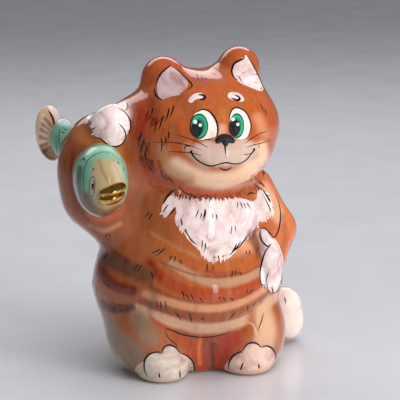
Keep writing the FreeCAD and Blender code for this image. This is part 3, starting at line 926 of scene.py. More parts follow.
def make_strokes(kind, name, mat, slot):
    rows = STROKES.get(kind, [])
    allc = np.vstack([r[0] + s * r[2] * r[3][:, None] / 2 for r in rows for s in (1, -1)])
    settled = settle(ON["fn"], allc, 2)
    sn = normals_at(ON["fn"], settled)
    verts, norms, faces, i, o = [], [], [], 0, 0
    for c, n, side, w, lift in rows:
        k = len(c)
        left, ln = settled[i:i + k], sn[i:i + k]
        right, rn = settled[i + k:i + 2 * k], sn[i + k:i + 2 * k]
        i += 2 * k
        ring = np.stack([left + ln * (lift - .045), c + n * lift, right + rn * (lift - .045), right - rn * .1, left - ln * .1], 1)
        nr = np.stack([ln, n, rn, rn, ln], 1)
        verts.append(ring.reshape(-1, 3)); norms.append(nr.reshape(-1, 3))
        for j in range(k - 1):
            for a in range(5):
                b = (a + 1) % 5
                faces.append([o + j * 5 + a, o + j * 5 + b, o + (j + 1) * 5 + b, o + (j + 1) * 5 + a])
        faces.append([o + 4, o + 3, o + 2, o + 1, o])
        faces.append([o + (k - 1) * 5 + a for a in range(5)])
        o += 5 * k
    return build(name, np.vstack(verts), faces, mat, np.vstack(norms), np.ones((o, 3)), slot)


# =====================================================================================================================
# 6. Painted areas and brush strokes. Their points were set in three enlarged front views; s1, s2 and s3 turn
# each one into camera steps.
# =====================================================================================================================
def s1(*pts):
    return [(35 + x / 12.06, 95 + y / 12.06) for x, y in pts]


def s2(*pts):
    return [(140 + x / 10.455, 50 + y / 10.455) for x, y in pts]


def s3(*pts):
    return [(95 + x / 7.467, 180 + y / 7.467) for x, y in pts]


def oval(c, rx, ry, n=40, turn=0.0):
    a = np.linspace(0, 2 * math.pi, n, endpoint=False)
    x, y = rx * np.cos(a), ry * np.sin(a)
    r = math.radians(turn)
    return np.stack([c[0] + x * math.cos(r) - y * math.sin(r), c[1] + x * math.sin(r) + y * math.cos(r)], 1)


# ---------------------------------------------------------------- white areas
film("bib.white", closed_line(s3((625, 80), (580, 85), (540, 120), (505, 185), (497, 235), (510, 262), (545, 268), (565, 235), (600, 200),
     (610, 260), (615, 320), (640, 345), (655, 370), (680, 365), (690, 400), (730, 450), (770, 490), (800, 545), (830, 580),
     (865, 592), (890, 570), (930, 585), (960, 560), (1000, 570), (1020, 545), (1060, 500), (1110, 450), (1150, 410),
     (1190, 370), (1210, 330), (1230, 310), (1275, 310), (1285, 270), (1330, 262), (1340, 240), (1320, 200), (1300, 150),
     (1270, 90), (1245, 65), (1215, 90), (1205, 140), (1170, 160), (1130, 145), (1050, 130), (990, 130), (930, 115),
     (880, 130), (800, 130), (740, 125), (680, 105), (645, 85))), MAT["white"])
# the white inside this ear is tinted darker: painted shade
film("ear_right.white", closed_line(s2((325, 170), (375, 205), (430, 255), (475, 300), (500, 345), (495, 385), (460, 420), (430, 445),
     (410, 470), (350, 480), (290, 500), (240, 515), (205, 500), (185, 450), (178, 370), (195, 300), (240, 230), (290, 190))), MAT["white"], tint=(.69, .61, .61))
film("ear_left.white", closed_line(s2((1100, 55), (1140, 100), (1190, 190), (1240, 290), (1275, 370), (1290, 410), (1260, 430),
     (1200, 410), (1130, 380), (1060, 350), (1010, 310), (975, 260), (970, 210), (990, 150), (1040, 110), (1075, 80))), MAT["white"])
film("brow_right.white", closed_line(s2((505, 525), (530, 485), (580, 455), (640, 450), (670, 470), (665, 495), (640, 510), (600, 510),
     (565, 530), (540, 552), (515, 545))), MAT["white"])
film("brow_left.white", closed_line(s2((920, 470), (940, 445), (985, 440), (1040, 455), (1075, 490), (1088, 525), (1060, 540),
     (1000, 528), (945, 510), (920, 490))), MAT["white"])
film("resting_paw.white", closed_line(s3((1245, 375), (1275, 375), (1310, 410), (1345, 440), (1375, 490), (1400, 560), (1408, 640),
     (1400, 720), (1370, 770), (1350, 830), (1315, 835), (1290, 815), (1265, 800), (1240, 760), (1235, 690), (1248, 610),
     (1275, 540), (1300, 495), (1265, 470), (1245, 420))), MAT["white"])
film("foot_right.white", closed_line(s3((395, 1465), (378, 1420), (378, 1355), (405, 1312), (450, 1292), (490, 1300), (505, 1290),
     (520, 1255), (555, 1238), (598, 1255), (630, 1292), (680, 1315), (720, 1352), (738, 1400), (732, 1440), (700, 1465),
     (620, 1480), (500, 1482), (420, 1478))), MAT["white"], tint=(.80, .82, .72))
film("foot_left.white", closed_line(s3((1005, 1418), (1005, 1370), (1035, 1322), (1085, 1292), (1105, 1278), (1140, 1232),
     (1190, 1220), (1220, 1235), (1240, 1258), (1290, 1245), (1325, 1270), (1342, 1310), (1335, 1345), (1310, 1375),
     (1260, 1405), (1180, 1425), (1090, 1430), (1030, 1425))), MAT["white"], tint=(.92, .78, .66))
film("raised_paw.white", closed_line(s1((640, 240), (760, 180), (900, 130), (1050, 85), (1105, 80), (1115, 130), (1100, 185),
     (1130, 240), (1150, 330), (1140, 420), (1100, 490), (1085, 550), (1030, 600), (950, 620), (880, 600), (830, 555),
     (800, 520), (745, 515), (720, 480), (705, 430), (720, 395), (680, 350), (690, 320), (650, 280))), MAT["white"])

# ---------------------------------------------------------------- eyes
film("eye_right.white", closed_line(s2((560, 690), (590, 655), (650, 625), (720, 645), (775, 705), (808, 800), (803, 880),
     (780, 915), (745, 935), (690, 940), (620, 935), (560, 900), (530, 830), (528, 760))), MAT["eye_white"], .035, 1.4, slot="black_glaze")
film("eye_left.white", closed_line(s2((935, 740), (938, 690), (960, 630), (1000, 605), (1050, 615), (1110, 660), (1150, 740),
     (1158, 800), (1145, 860), (1125, 900), (1080, 930), (1020, 930), (965, 900), (938, 840))), MAT["eye_white"], .035, 1.4, slot="black_glaze")


def ring_of(cx, cy, rx, ry):
    def f(px):
        r = np.hypot((px[:, 0] - cx) / rx, (px[:, 1] - cy) / ry)
        return np.stack([r, r, r], 1)
    return f


def clip_oval(c, rx, ry, keep):
    o = oval(c, rx, ry, 60)
    o[:, 0] = np.clip(o[:, 0], keep[0], keep[1])
    return o


(ix, iy), = s2((618, 797))
film("eye_right.iris", oval((ix, iy), 9.1, 12.8, 60), MAT["iris"], .055, 1.2, ring_of(ix, iy, 9.1, 12.8), slot="black_glaze")
(jx, jy), = s2((1012, 792))
film("eye_left.iris", oval((jx, jy), 7.4, 12.6, 60), MAT["iris"], .055, 1.2, ring_of(jx, jy, 7.4, 12.6), slot="black_glaze")
(px0, py0), = s2((596, 820))
film("eye_right.pupil", oval((px0, py0), 5.7, 8.6, 48), MAT["nose"], .075, 1.2, slot="black_glaze")
(qx0, qy0), = s2((990, 815))
film("eye_left.pupil", oval((qx0, qy0), 5.3, 8.5, 48), MAT["nose"], .075, 1.2, slot="black_glaze")
for i, (c, r) in enumerate(((s2((577, 752))[0], 2.0), (s2((630, 786))[0], 1.6), (s2((972, 724))[0], 1.7), (s2((1022, 778))[0], 1.5))):
    film("eye_glint.%d" % i, oval(c, r, r * 1.05, 18), MAT["glint"], .095, .9, slot="black_glaze")

# ---------------------------------------------------------------- the fish's eye
(fx, fy), = s1((690, 1105))
film("fish_eye.black", oval((fx, fy), 3.0, 10.4, 40, 4), MAT["ink"], .05, 1.3, slot="mint_glaze")
film("fish_eye.ball", oval((fx, fy), 2.45, 9.6, 36, 4), MAT["white"], .07, 1.1, slot="mint_glaze", tint=(.62, .60, .42))
film("fish_eye.pupil", oval((fx + .8, fy - 1.6), 1.35, 4.8, 28, 4), MAT["nose"], .09, 1.0, slot="mint_glaze")
film("fish_eye.glint", oval((fx + .7, fy - 4.0), .5, .8, 14), MAT["glint"], .105, .8, slot="mint_glaze")


def K(kind, width, *lines):
    for ln in lines:
        if len(ln) == 2:          # a tick: longer, and drawn out to a point
            (x0, y0), (x1, y1) = ln
            ln = [(x0 - .12 * (x1 - x0), y0 - .12 * (y1 - y0)), ((x0 + x1) / 2 + .06 * (y1 - y0), (y0 + y1) / 2 - .06 * (x1 - x0)),
                  (x1 + .18 * (x1 - x0), y1 + .18 * (y1 - y0))]
            stroke(kind, ln, [width * .5, width * .95, width * .7, .06])
        else:
            stroke(kind, ln, width * .74)


def licks(kind, edge, count, length, width, direction, seed, jitter=.35, back=.25, lift=0.05):
    """Short brush licks of fur across an edge: each starts behind the edge and is drawn out to a point beyond it."""
    r = random.Random(seed)
    e = smooth_line(edge, 8)
    s_ = np.concatenate([[0], np.cumsum(np.linalg.norm(np.diff(e, axis=0), axis=1))])
    for i in range(count):
        t = (i + .5 + r.uniform(-.3, .3)) / count * s_[-1]
        x, y = np.interp(t, s_, e[:, 0]), np.interp(t, s_, e[:, 1])
        f = t / s_[-1] * (len(direction) - 1)
        k = min(int(f), len(direction) - 2) if len(direction) > 1 else 0
        d = direction[0] if len(direction) == 1 else tuple(direction[k][c] + (direction[k + 1][c] - direction[k][c]) * (f - k) for c in (0, 1))
        a = math.atan2(d[1], d[0]) + r.uniform(-jitter, jitter)
        ln = length * r.uniform(.7, 1.25)
        dx, dy = math.cos(a), math.sin(a)
        bend = r.uniform(-.12, .12) * ln
        w = width * r.uniform(.8, 1.2)
        stroke(kind, [(x - dx * ln * back, y - dy * ln * back), (x + dx * ln * .35 - dy * bend, y + dy * ln * .35 + dx * bend), (x + dx * ln, y + dy * ln)],
               [w * .7, w, w * .62, .05], lift)


# ---------------------------------------------------------------- face
K("ink", 1.15, s2((590, 655), (650, 622), (720, 640), (780, 710), (812, 800), (808, 880), (790, 912)))
K("ink", .7, s2((556, 690), (535, 740), (527, 800), (532, 860), (560, 905)), s2((660, 938), (720, 934), (775, 915)))
K("ink", 1.0, s2((935, 742), (938, 690), (960, 630), (1000, 603), (1050, 613), (1110, 658), (1150, 738), (1160, 800), (1148, 862), (1127, 900)))
K("ink", .55, s2((935, 742), (932, 800), (940, 860), (970, 905)))
stroke("ink", s2((888, 1000), (893, 1060), (903, 1128)), [.8, .45, .15])
stroke("ink", s2((535, 1065), (560, 1110), (620, 1165), (700, 1205), (760, 1212), (820, 1195), (880, 1180), (915, 1178), (960, 1188),
                 (1020, 1190), (1080, 1170), (1130, 1130), (1160, 1090), (1200, 1040)), [.9, .6, .6, .65, .6, .5, .65, .65, .5, .5, .5, .6, .55, .8])
stroke("ink", s2((528, 1052), (540, 1070)), [.8, 1.4])
stroke("ink", s2((1188, 1048), (1200, 1028)), [1.2, .6])
K("ink", .75, s2((470, 1045), (468, 1015), (490, 1000), (530, 1010)), s2((1240, 985), (1246, 1005), (1240, 1025)))
K("ink", 1.0, s2((830, 1225), (855, 1245), (890, 1255), (930, 1245), (958, 1222)))
K("ink", .42, s2((130, 967), (220, 962), (340, 965), (460, 985), (560, 1010), (650, 1045)),
  s2((290, 1060), (400, 1065), (500, 1072), (600, 1090), (645, 1103)),
  s2((385, 890), (480, 915), (580, 950), (650, 985), (710, 1020)),
  s2((1090, 980), (1160, 930), (1250, 875), (1340, 845)), s2((1110, 1020), (1180, 995), (1280, 970), (1375, 935)),
  s2((1080, 1095), (1130, 1090), (1190, 1070)))
K("ink", 1.7, s2((605, 468), (650, 470), (680, 490), (660, 515), (620, 515)))
K("ink", 1.5, s2((990, 472), (1030, 488), (1043, 512), (1020, 525), (980, 512), (945, 493)))
K("ink", 1.1, s2((325, 160), (280, 190), (225, 240), (185, 310), (173, 370)), s2((150, 400), (155, 450), (190, 500), (235, 520)))
K("ink", .9, s2((330, 170), (400, 215), (470, 280), (520, 330), (545, 370), (520, 400), (490, 420)))
K("ink", 1.2, s2((1085, 45), (1085, 90), (1040, 110), (985, 145), (962, 200), (962, 240), (985, 290), (1020, 315)))
K("ink", .6, s2((1030, 265), (1050, 310), (1085, 360)), s2((1270, 385), (1268, 405), (1255, 420)))
K("ink", .9, s2((1125, 65), (1175, 145), (1225, 245), (1270, 340), (1280, 370)))
K("ink", .65, *[s2(a, b) for a, b in (((590, 250), (610, 310)), ((640, 270), (655, 305)), ((680, 290), (695, 310)), ((770, 185), (830, 225)),
                ((750, 240), (790, 260)), ((130, 610), (115, 680)), ((85, 640), (65, 700)), ((350, 590), (315, 690)), ((300, 620), (265, 740)),
                ((245, 690), (215, 760)), ((225, 720), (195, 830)), ((165, 740), (150, 850)), ((300, 860), (295, 930)), ((225, 930), (222, 1050)),
                ((270, 910), (262, 980)), ((305, 1330), (350, 1400)), ((1260, 565), (1285, 640)),
                ((1305, 630), (1320, 680)), ((1240, 1380), (1300, 1420)))])
K("ink", 1.2, s2((52, 925), (20, 1000), (5, 1085)), s2((70, 1010), (55, 1080), (62, 1150)), s2((22, 850), (2, 900), (-5, 960)))
K("ink", .8, s2((75, 1165), (110, 1240), (160, 1290)), s2((215, 1250), (235, 1320), (290, 1365)), s2((400, 1420), (470, 1490), (540, 1515), (590, 1550)),
  s2((545, 1500), (600, 1545), (640, 1530), (690, 1520), (760, 1545)), s2((1120, 1525), (1150, 1495), (1210, 1500)), s2((1200, 1390), (1230, 1440), (1260, 1450)))

# ---------------------------------------------------------------- chest, belly, hand, feet
K("ink", 1.3, s3((610, 68), (570, 90), (535, 130), (510, 180)), s3((1245, 60), (1290, 130), (1312, 168)))
K("ink", .8, s3((550, 180), (525, 212), (510, 245)), s3((600, 205), (575, 240), (545, 270)), s3((1255, 110), (1300, 200), (1310, 240)),
  s3((640, 285), (648, 315), (650, 345)), s3((675, 365), (683, 392), (695, 415)), s3((690, 400), (720, 450), (760, 485)),
  s3((1150, 400), (1100, 470), (1050, 525)), s3((1200, 355), (1190, 380), (1175, 400)), s3((1090, 455), (1050, 515), (1000, 565)),
  s3((920, 560), (922, 580), (930, 600)), s3((1060, 470), (1040, 515), (1010, 560)))
K("ink", .55, *[s3(a, b) for a, b in (((770, 225), (750, 275)), ((820, 225), (800, 300)), ((795, 250), (785, 285)), ((825, 230), (812, 300)),
                ((880, 255), (875, 285)), ((905, 260), (910, 295)), ((1065, 170), (1060, 205)), ((1085, 170), (1100, 210)), ((1110, 175), (1125, 210)),
                ((1135, 175), (1155, 215)), ((1020, 350), (1015, 400)), ((1045, 345), (1050, 385)), ((800, 455), (795, 510)), ((825, 475), (815, 530)))])
K("ink", 1.0, s3((1235, 365), (1265, 360), (1300, 395), (1335, 435)), s3((1235, 370), (1232, 410), (1250, 460), (1290, 495), (1320, 475)),
  s3((1310, 485), (1270, 540), (1245, 620), (1232, 700), (1240, 770), (1262, 785)))
K("ink", .7, s3((1265, 775), (1266, 795), (1275, 815)), s3((1290, 770), (1287, 795), (1290, 820), (1310, 840)), s3((1320, 790), (1325, 820), (1340, 845), (1380, 810)),
  s3((1295, 690), (1280, 740), (1275, 790)))
K("ink", .75, s3((1345, 95), (1375, 180), (1385, 260), (1380, 330), (1365, 390), (1340, 430), (1325, 432)))
stroke("ink", s3((520, 1105), (580, 1125), (660, 1155), (760, 1172), (860, 1172), (950, 1155), (1010, 1135)), [.2, .5, .75, .9, .9, .6, .2])
K("ink", .6, s3((525, 1120), (550, 1180), (600, 1225), (615, 1250)))
K("brown", .7, s3((1260, 990), (1240, 1060), (1215, 1130)))
K("ink", 1.1, s3((395, 1470), (370, 1420), (370, 1350), (400, 1305), (450, 1285), (490, 1285)), s3((500, 1290), (515, 1250), (555, 1232), (600, 1250), (630, 1285)),
  s3((630, 1290), (680, 1310), (725, 1350), (742, 1400), (738, 1450)), s3((1000, 1420), (1000, 1370), (1030, 1315), (1085, 1283), (1100, 1290)),
  s3((1105, 1270), (1140, 1225), (1190, 1215), (1220, 1230), (1240, 1250)), s3((1240, 1245), (1290, 1240), (1330, 1265), (1348, 1310), (1340, 1345)))
K("ink", 1.0, s3((480, 1440), (481, 1460), (485, 1478)), s3((632, 1418), (634, 1450), (638, 1482)), s3((1108, 1362), (1096, 1390), (1085, 1422)), s3((1222, 1372), (1224, 1392), (1225, 1412)))
K("ink", .55, *[s3(a, b) for a, b in (((515, 515), (450, 565)), ((480, 520), (420, 545)), ((325, 625), (290, 665)), ((345, 640), (310, 680)),
                ((570, 570), (555, 600)), ((600, 575), (590, 610)), ((635, 600), (645, 625)), ((835, 630), (835, 680)), ((880, 645), (882, 675)),
                ((1025, 680), (1020, 715)), ((1050, 680), (1048, 710)), ((1080, 690), (1095, 710)), ((1130, 530), (1125, 555)), ((1155, 530), (1150, 560)),
                ((420, 690), (430, 740)), ((650, 830), (665, 885)), ((680, 855), (700, 895)), ((715, 855), (735, 895)), ((780, 880), (800, 905)),
                ((925, 870), (930, 895)), ((960, 880), (970, 900)), ((1010, 880), (1035, 900)), ((1140, 820), (1130, 845)), ((1175, 820), (1150, 845)),
                ((465, 910), (460, 960)), ((490, 910), (488, 970)), ((525, 910), (528, 975)), ((600, 990), (640, 1045)), ((705, 1000), (720, 1060)),
                ((790, 1030), (815, 1045)), ((1040, 990), (1005, 1035)), ((1140, 945), (1138, 980)), ((1195, 920), (1175, 945)),
                ((70, 770), (110, 810)), ((110, 930), (130, 980)), ((145, 940), (150, 990)), ((400, 245), (375, 275)), ((425, 255), (395, 295)),
                ((85, 400), (80, 430)), ((105, 405), (112, 430)), ((1415, 880), (1425, 920)), ((1410, 1165), (1430, 1190)))])

# ---------------------------------------------------------------- raised arm, paw and fish
K("ink", 1.0, s1((1110, 85), (1115, 140), (1100, 185)), s1((1005, 160), (1070, 195), (1125, 260), (1152, 340), (1145, 430), (1130, 480)),
  s1((705, 512), (770, 515), (820, 550), (880, 600), (950, 622), (1020, 610), (1075, 560), (1095, 500), (1085, 440), (1050, 385), (1005, 340)))
K("ink", .6, s1((735, 395), (700, 405), (665, 420)), s1((640, 300), (665, 325), (690, 340)))
K("brown", .8, s1((640, 250), (500, 350), (400, 470), (320, 600), (290, 680)))
K("teal", .7, s1((900, 690), (800, 690), (700, 730), (630, 800), (595, 900), (585, 1050), (600, 1200), (660, 1330), (720, 1380)))
# the first arc is a painted reflection on the fish's head; the second is a tick
K("ink", .8, s1((550, 790), (590, 765), (600, 800)), s1((990, 800), (1005, 820), (1020, 840)))
K("ink", .5, s1((695, 905), (715, 885)), s1((1065, 880), (1080, 920)))
# painted shade: a dark line along the bottom of the fish, where it meets the arm
K("brown", 1.2, s1((540, 1230), (590, 1320), (670, 1395), (780, 1440)))
K("ink", .6, s1((350, 410), (372, 420), (395, 420)), s1((320, 440), (345, 455), (372, 450)))
K("teal", .7, s1((300, 400), (292, 500), (290, 600)), s1((270, 600), (262, 660), (268, 720)))

# ---------------------------------------------------------------- fur licks
licks("white_fur", s3((612, 255), (616, 320), (655, 368), (690, 405), (735, 458), (775, 498), (805, 550)), 17, 4.6, 1.3, [(-.35, 1), (.25, 1)], 21)
licks("white_fur", s3((805, 550), (865, 590), (930, 585), (1000, 568)), 11, 4.6, 1.3, [(.1, 1), (-.2, 1)], 22)
licks("white_fur", s3((1000, 568), (1060, 500), (1110, 450), (1155, 408), (1195, 368), (1225, 318)), 15, 4.2, 1.2, [(-.35, 1), (.1, 1)], 23)
licks("white_fur", s3((1240, 308), (1290, 270), (1335, 250)), 6, 4.0, 1.2, [(.35, 1), (.5, 1)], 24)
licks("white_fur", s3((500, 235), (530, 262), (556, 245)), 5, 3.6, 1.1, [(-.7, 1), (-.2, 1)], 25)
licks("white_fur", s3((1320, 200), (1300, 140), (1262, 82)), 7, 3.4, 1.0, [(.8, .5), (.7, .2)], 26)
licks("white_fur", s1((645, 262), (695, 330), (715, 400), (725, 480)), 10, 4.0, 1.2, [(-1, -.15), (-1, .3)], 27)
licks("rust_fur", [(150, 181), (158, 187), (172, 190.5), (184, 194), (196, 194.5), (210, 195.5), (224, 195), (238, 192), (247, 188), (256, 186)], 34, 6.2, 1.9,
      [(-.3, 1), (-.25, 1), (.2, 1), (.45, 1), (.4, 1)], 31, lift=0.07)
licks("rust_fur", [(252, 176), (258, 180), (263, 184)], 7, 5.5, 1.5, [(.15, 1), (.35, 1)], 32, lift=0.07)
licks("rust_fur", [(158, 160), (161, 168), (166, 176), (174, 183)], 10, 5.5, 1.6, [(.2, 1), (.6, 1)], 33, lift=0.07)
licks("umber_fur", [(146, 116), (160, 122)], 5, 9.0, 1.3, [(-.35, 1)], 51, lift=0.04)
licks("umber_fur", [(136, 138), (150, 146)], 5, 9.0, 1.5, [(-.1, 1)], 52, lift=0.04)
licks("umber_fur", [(139, 156), (154, 162)], 5, 9.0, 1.6, [(.2, 1)], 53, lift=0.04)
licks("umber_fur", [(262, 170), (268, 166)], 3, 8.0, 1.3, [(-.3, 1)], 54, lift=0.04)
licks("umber_fur", [(98, 280), (128, 287)], 9, 4.5, 1.4, [(.5, 1)], 55, lift=0.04)
licks("umber_fur", [(98, 300), (126, 306)], 9, 4.5, 1.4, [(.4, 1)], 56, lift=0.04)
licks("rust_fur", [(164, 126), (168, 146)], 4, 7.0, 1.3, [(-.6, 1)], 58, lift=0.04)
licks("ink", [(168, 191), (184, 196), (198, 197), (214, 197.5), (228, 196.5), (243, 191.5)], 15, 4.6, .55, [(-.3, 1), (.3, 1), (.7, 1)], 34, .6, lift=0.10)
licks("ink", [(254, 184), (259, 187), (263, 189)], 4, 4.6, .55, [(.1, 1), (.5, 1)], 35, .6, lift=0.10)

for kind, mat, slot in (("white_fur", "white", "white_glaze"), ("rust_fur", "rust", "ginger_glaze"), ("umber_fur", "umber", "ginger_glaze"), ("ink", "ink", "black_glaze"), ("brown", "brown", "ginger_glaze"), ("teal", "teal", "mint_glaze")):
    make_strokes(kind, "linework." + kind, MAT[mat], slot)

# ---------------------------------------------------------------- the sides and the back, which are decorated the same way
ROUND = round_axis(0.0, 2.0)
rr = random.Random(11)
for zc, reach in ((74, 75), (60, 92), (46, 108), (32, 112)):
    for i in range(int(-reach / 13), int(reach / 13) + 1):
        for t in range(2):
            a = i * 13 + rr.uniform(-3.5, 3.5) + t * 2.6
            if a < -78 and zc > 60:
                continue
            z = zc - 4.5 * math.cos(math.radians(a * 1.5)) + rr.uniform(-1.0, 1.4)
            ln = rr.uniform(3.0, 5.0)
            stroke("fur", [(a, z + ln / 2), (a + rr.uniform(.4, 1.6), z), (a + rr.uniform(1.2, 3.0), z - ln / 2)], .55, place=ROUND)
HEADROUND = round_axis(3.8, -3.0)
for zc in (118, 107, 96):
    for i in range(-3, 4):
        a = i * 12 + rr.uniform(-3, 3)
        z = zc - 0.004 * (27 * math.sin(math.radians(a))) ** 2
        ln = rr.uniform(3.0, 4.6)
        stroke("fur", [(a, z + ln / 2), (a + 1, z), (a + 2.4, z - ln / 2)], .55, place=HEADROUND)
for a0, z0 in ((62, 92), (70, 86), (78, 90), (66, 100), (-64, 118), (-56, 112), (60, 112), (74, 104)):
    stroke("fur", [(a0, z0 + 2.4), (a0 + 2, z0), (a0 + 3, z0 - 2.4)], .6, place=HEADROUND)
make_strokes("fur", "linework.back", MAT["ink"], "black_glaze")

# ---------------------------------------------------------------- small castings: fin, lips and nose
def casting(name, node_name, fn, lo, hi, h, mat, slot, colours=None):
    v, q = polygonise(fn, lo, hi, h)
    v = settle(fn, v, 3)
    n = normals_at(fn, v)
    build(name, v, q.tolist(), mat, n, colours(v, n) if colours else None, slot, (node_name,))
    return v, q


FIN_TILT = tilt(-5)


def fin_blank(P):
    d = ell(P, (-55, 26.5, 97), (6.6, 6.0, 12.2), FIN_TILT)
    return d


fv, fq = polygonise(fin_blank, (-64, 18, 83), (-46, 35, 113), 0.6)
fin_tree = BVHTree.FromPolygons(fv.tolist(), fq.tolist(), epsilon=0.0)
ON.update(fn=fin_blank, tree=fin_tree)
RIBS = []
for a, b in (((44.5, 119.5), (51.5, 127)), ((42, 124.5), (48.5, 129.8)), ((40.6, 130), (46.8, 133.4)), ((40.2, 137), (46.2, 138.8)),
             ((40.4, 146), (46.5, 143.5)), ((43.5, 152), (48.5, 147.5))):
    RIBS.append(on_front([a, b]))


def fin(P):
    d = fin_blank(P)
    for a, b in RIBS:
        d = smax(d, -limb(P, a, b, .75, .35), .9)
    return d


def fin_colour(v, n):
    px = seen_at(v)
    out = np.repeat(lin((240, 208, 178))[None], len(v), 0)

    def lay(c, k):
        out[:] = out + (lin(c) - out) * k[:, None]
    edge = np.interp(px[:, 1], [105, 109.5, 120, 129, 139, 150, 162], [47, 48.5, 53.5, 54.5, 52.5, 50, 47])
    lay((236, 220, 214), step(px[:, 0], edge - .5, edge + 1.5))
    lay((186, 138, 84), (1 - step(np.abs(px[:, 0] - edge + 3), 1.5, 5)) * .6)
    lay((150, 98, 44), step(px[:, 1], 143, 153) * .85 * (1 - step(px[:, 0], 52, 60)))
    lay((222, 194, 164), (1 - step(px[:, 0], 40, 46)) * (1 - step(px[:, 1], 140, 150)) * .6)
    lay((176, 190, 170), step(v[:, 1], 27, 32) * .35)
    ang = np.degrees(np.arctan2(v[:, 2] - 97, (v[:, 0] + 55) * 1.8))
    rad = np.hypot(v[:, 2] - 97, (v[:, 0] + 55) * 1.8)
    ray = 1 - step(np.abs((ang / 24) % 1 - .5), .10, .26)
    lay((128, 84, 48), ray * step(rad, 2.5, 5) * step(v[:, 1], 26.5, 28.5) * .6)
    for a, b in RIBS:
        d = limb(cols(v), a, b, .8, .4)
        lay((120, 78, 44), (1 - step(d, -.3, .5)) * .62)
    return out


casting("fish_tail_fin.cast", "fish_tail_fin", fin, (-64, 18, 83), (-46, 35, 113), 0.42, MAT["glaze"], "sand_glaze", fin_colour)
stroke("ridge", [(48.4, 110.2), (51, 114.5), (53.4, 120), (54.3, 129), (52.8, 139), (50.2, 150)], [.3, 1.0, 1.0, .8, .6, .2])
stroke("ridge", [(41, 146), (44, 152.5), (49.5, 157.5), (55, 158.5)], [.3, .9, 1.0, .4])
make_strokes("ridge", "linework.fin", MAT["brown"], "ginger_glaze")
ON.update(fn=solid, tree=BVHTree.FromPolygons(V.tolist(), Q.tolist(), epsilon=0.0))


def sausages(rows, k):
    """Chains of round limbs whose middle lies in the surface: rows are (points in camera steps, radii, sink)."""
    parts = []
    for pts, radii, sink in rows:
        c = on_front(smooth_line(pts, 4))
        c = c - normals_at(solid, c) * sink
        r = np.interp(np.linspace(0, len(radii) - 1, len(c)), np.arange(len(radii)), radii)
        parts += [(c[i], c[i + 1], r[i], r[i + 1]) for i in range(len(c) - 1)]
    allc = np.array([p[0] for p in parts] + [p[1] for p in parts])

    def fn(P):
        d = None
        for p in parts:
            q = limb(P, *p)
            d = q if d is None else smin(d, q, k)
        return d
    return fn, allc.min(0) - 4, allc.max(0) + 4


# two full lips, the lower one fuller, pressed together along a curved line
lip_mid = on_front(s1((945, 1186)))[0]
lip_n = normals_at(solid, lip_mid[None])[0]
lip_x = RIGHT - lip_n * (RIGHT @ lip_n)
lip_x /= np.linalg.norm(lip_x)
lip_y = np.cross(lip_n, lip_x)
lip_y /= np.linalg.norm(lip_y)
LIP = np.stack([lip_x, lip_y, lip_n])          # rows: along the mouth, up, out


def lip_lobe(P, cx, cy, cz, rx, ry, rz, turn):
    q = [sum(F32(LIP[j][k]) * (P[k] - F32(lip_mid[k])) for k in range(3)) for j in range(3)]
    x, y, z = q[0] - F32(cx), q[1] - F32(cy), q[2] - F32(cz)
    c, s_ = F32(math.cos(math.radians(turn))), F32(math.sin(math.radians(turn)))
    x, y = x * c + y * s_, y * c - x * s_
    return ell([x, y, z], (0, 0, 0), (rx, ry, rz))


seam_line = on_front(smooth_line(s1((785, 1198), (880, 1193), (990, 1168), (1060, 1138), (1108, 1120)), 5))
seam_line = seam_line + normals_at(solid, seam_line) * 1.9


def lips_cut(P):
    d = smin(lip_lobe(P, 0.3, 1.25, -1.0, 5.9, 2.55, 3.6, 9), lip_lobe(P, -0.1, -1.65, -1.0, 5.6, 3.1, 3.9, 11), .5)
    for i in range(len(seam_line) - 1):
        d = smax(d, -limb(P, seam_line[i], seam_line[i + 1], .42, .42), .7)
    return d


lo, hi = lip_mid - 8.5, lip_mid + 8.5
casting("fish_lips.cast", "fish_lips", lips_cut, lo, hi, 0.32, MAT["gold"], "gold_lustre")

nose, lo, hi = sausages([
    (s2((806, 958), (845, 925), (890, 918), (940, 932), (974, 952)), (1.0, 1.5, 1.7, 1.5, 1.0), .6),
    (s2((888, 935), (895, 985)), (1.7, 1.1), .6)], .7)
casting("nose.cast", "nose", nose, lo, hi, 0.26, MAT["nose"], "black_glaze")

# =====================================================================================================================
# 7. Floor, light and camera
# =====================================================================================================================
def area(name, loc, at, size, power, colour=(1, 1, 1), shape="RECTANGLE", gloss=True):
    l = bpy.data.lights.new(name, "AREA")
    l.shape = shape
    l.size, l.size_y = size
    l.energy = power
    l.color = colour
    o = bpy.data.objects.new(name, l)
    o.location = loc
    o.rotation_euler = (Vector(at) - Vector(loc)).to_track_quat("-Z", "Y").to_euler()
    o.visible_glossy = gloss
    bpy.context.scene.collection.objects.link(o)
    return o


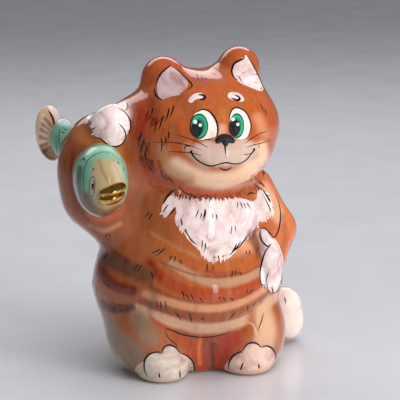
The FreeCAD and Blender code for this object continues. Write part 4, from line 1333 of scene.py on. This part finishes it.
me = bpy.data.meshes.new("floor")
R0 = 6.0
ring = [(R0 * math.cos(2 * math.pi * i / 96), R0 * math.sin(2 * math.pi * i / 96), 0.0) for i in range(96)]
me.from_pydata([(0, 0, 0)] + ring, [], [(0, 1 + i, 1 + (i + 1) % 96) for i in range(96)])
m, nt, sh = new_material("pale_floor")
co = node(nt, "ShaderNodeTexCoord").outputs["Object"]
f = noise(nt, co, 30, 3, 0.5)
nt.links.new(ramp(nt, f, [(0.3, (0.60, 0.61, 0.65)), (0.7, (0.62, 0.63, 0.67))]), sh.inputs["Base Color"])
nt.links.new(spread(nt, f, .20, .26), sh.inputs["Roughness"])
me.materials.append(m)
floor = bpy.data.objects.new("floor", me)
bpy.context.scene.collection.objects.link(floor)

sun = bpy.data.lights.new("studio_ceiling", "SUN")
sun.energy = 0.75
sun.angle = math.radians(60)
sun_ob = bpy.data.objects.new("studio_ceiling", sun)
sun_ob.rotation_euler = Vector((-0.35, 0.45, -1.0)).to_track_quat("-Z", "Y").to_euler()
sun_ob.visible_glossy = False
bpy.context.scene.collection.objects.link(sun_ob)
area("top", (0.10, -0.05, 0.80), (0, 0.01, 0.06), (0.80, 0.60), 3.4, (1.0, 0.98, 0.98), gloss=False)
area("rim", (0.02, 0.52, 0.52), (0, 0.0, 0.09), (0.90, 0.30), 2.3, (1.0, 0.95, 0.97))
area("key", (0.66, -0.74, 0.26), (0, 0, 0.07), (0.40, 0.40), 8.6, (1.0, 0.985, 0.965), gloss=False)
area("fill", (-0.70, -0.75, 0.30), (0, 0, 0.07), (0.50, 0.60), 1.4, (0.98, 0.98, 1.0), gloss=False)
area("card", (0.36, -0.98, 0.20), (0.01, -0.02, 0.08), (0.12, 0.34), 0.8, (1.0, 0.99, 0.97))

world = bpy.data.worlds.new("studio")
world.use_nodes = True
world.node_tree.nodes["Background"].inputs[0].default_value = (0.62, 0.64, 0.70, 1)
world.node_tree.nodes["Background"].inputs[1].default_value = 0.17
scene = bpy.context.scene
scene.world = world
scene.view_settings.view_transform = "Standard"

cam = bpy.data.cameras.new("camera")
cam.sensor_width = 36
cam.lens = 18 / (200 * MM_PX / DIST)
cam.clip_start = 0.01
cam_ob = bpy.data.objects.new("camera", cam)
cam_ob.location = Vector(EYE / 1000)
cam_ob.rotation_euler = Vector(-BACK).to_track_quat("-Z", "Y").to_euler()
scene.collection.objects.link(cam_ob)
scene.camera = cam_ob

bpy.context.view_layer.update()
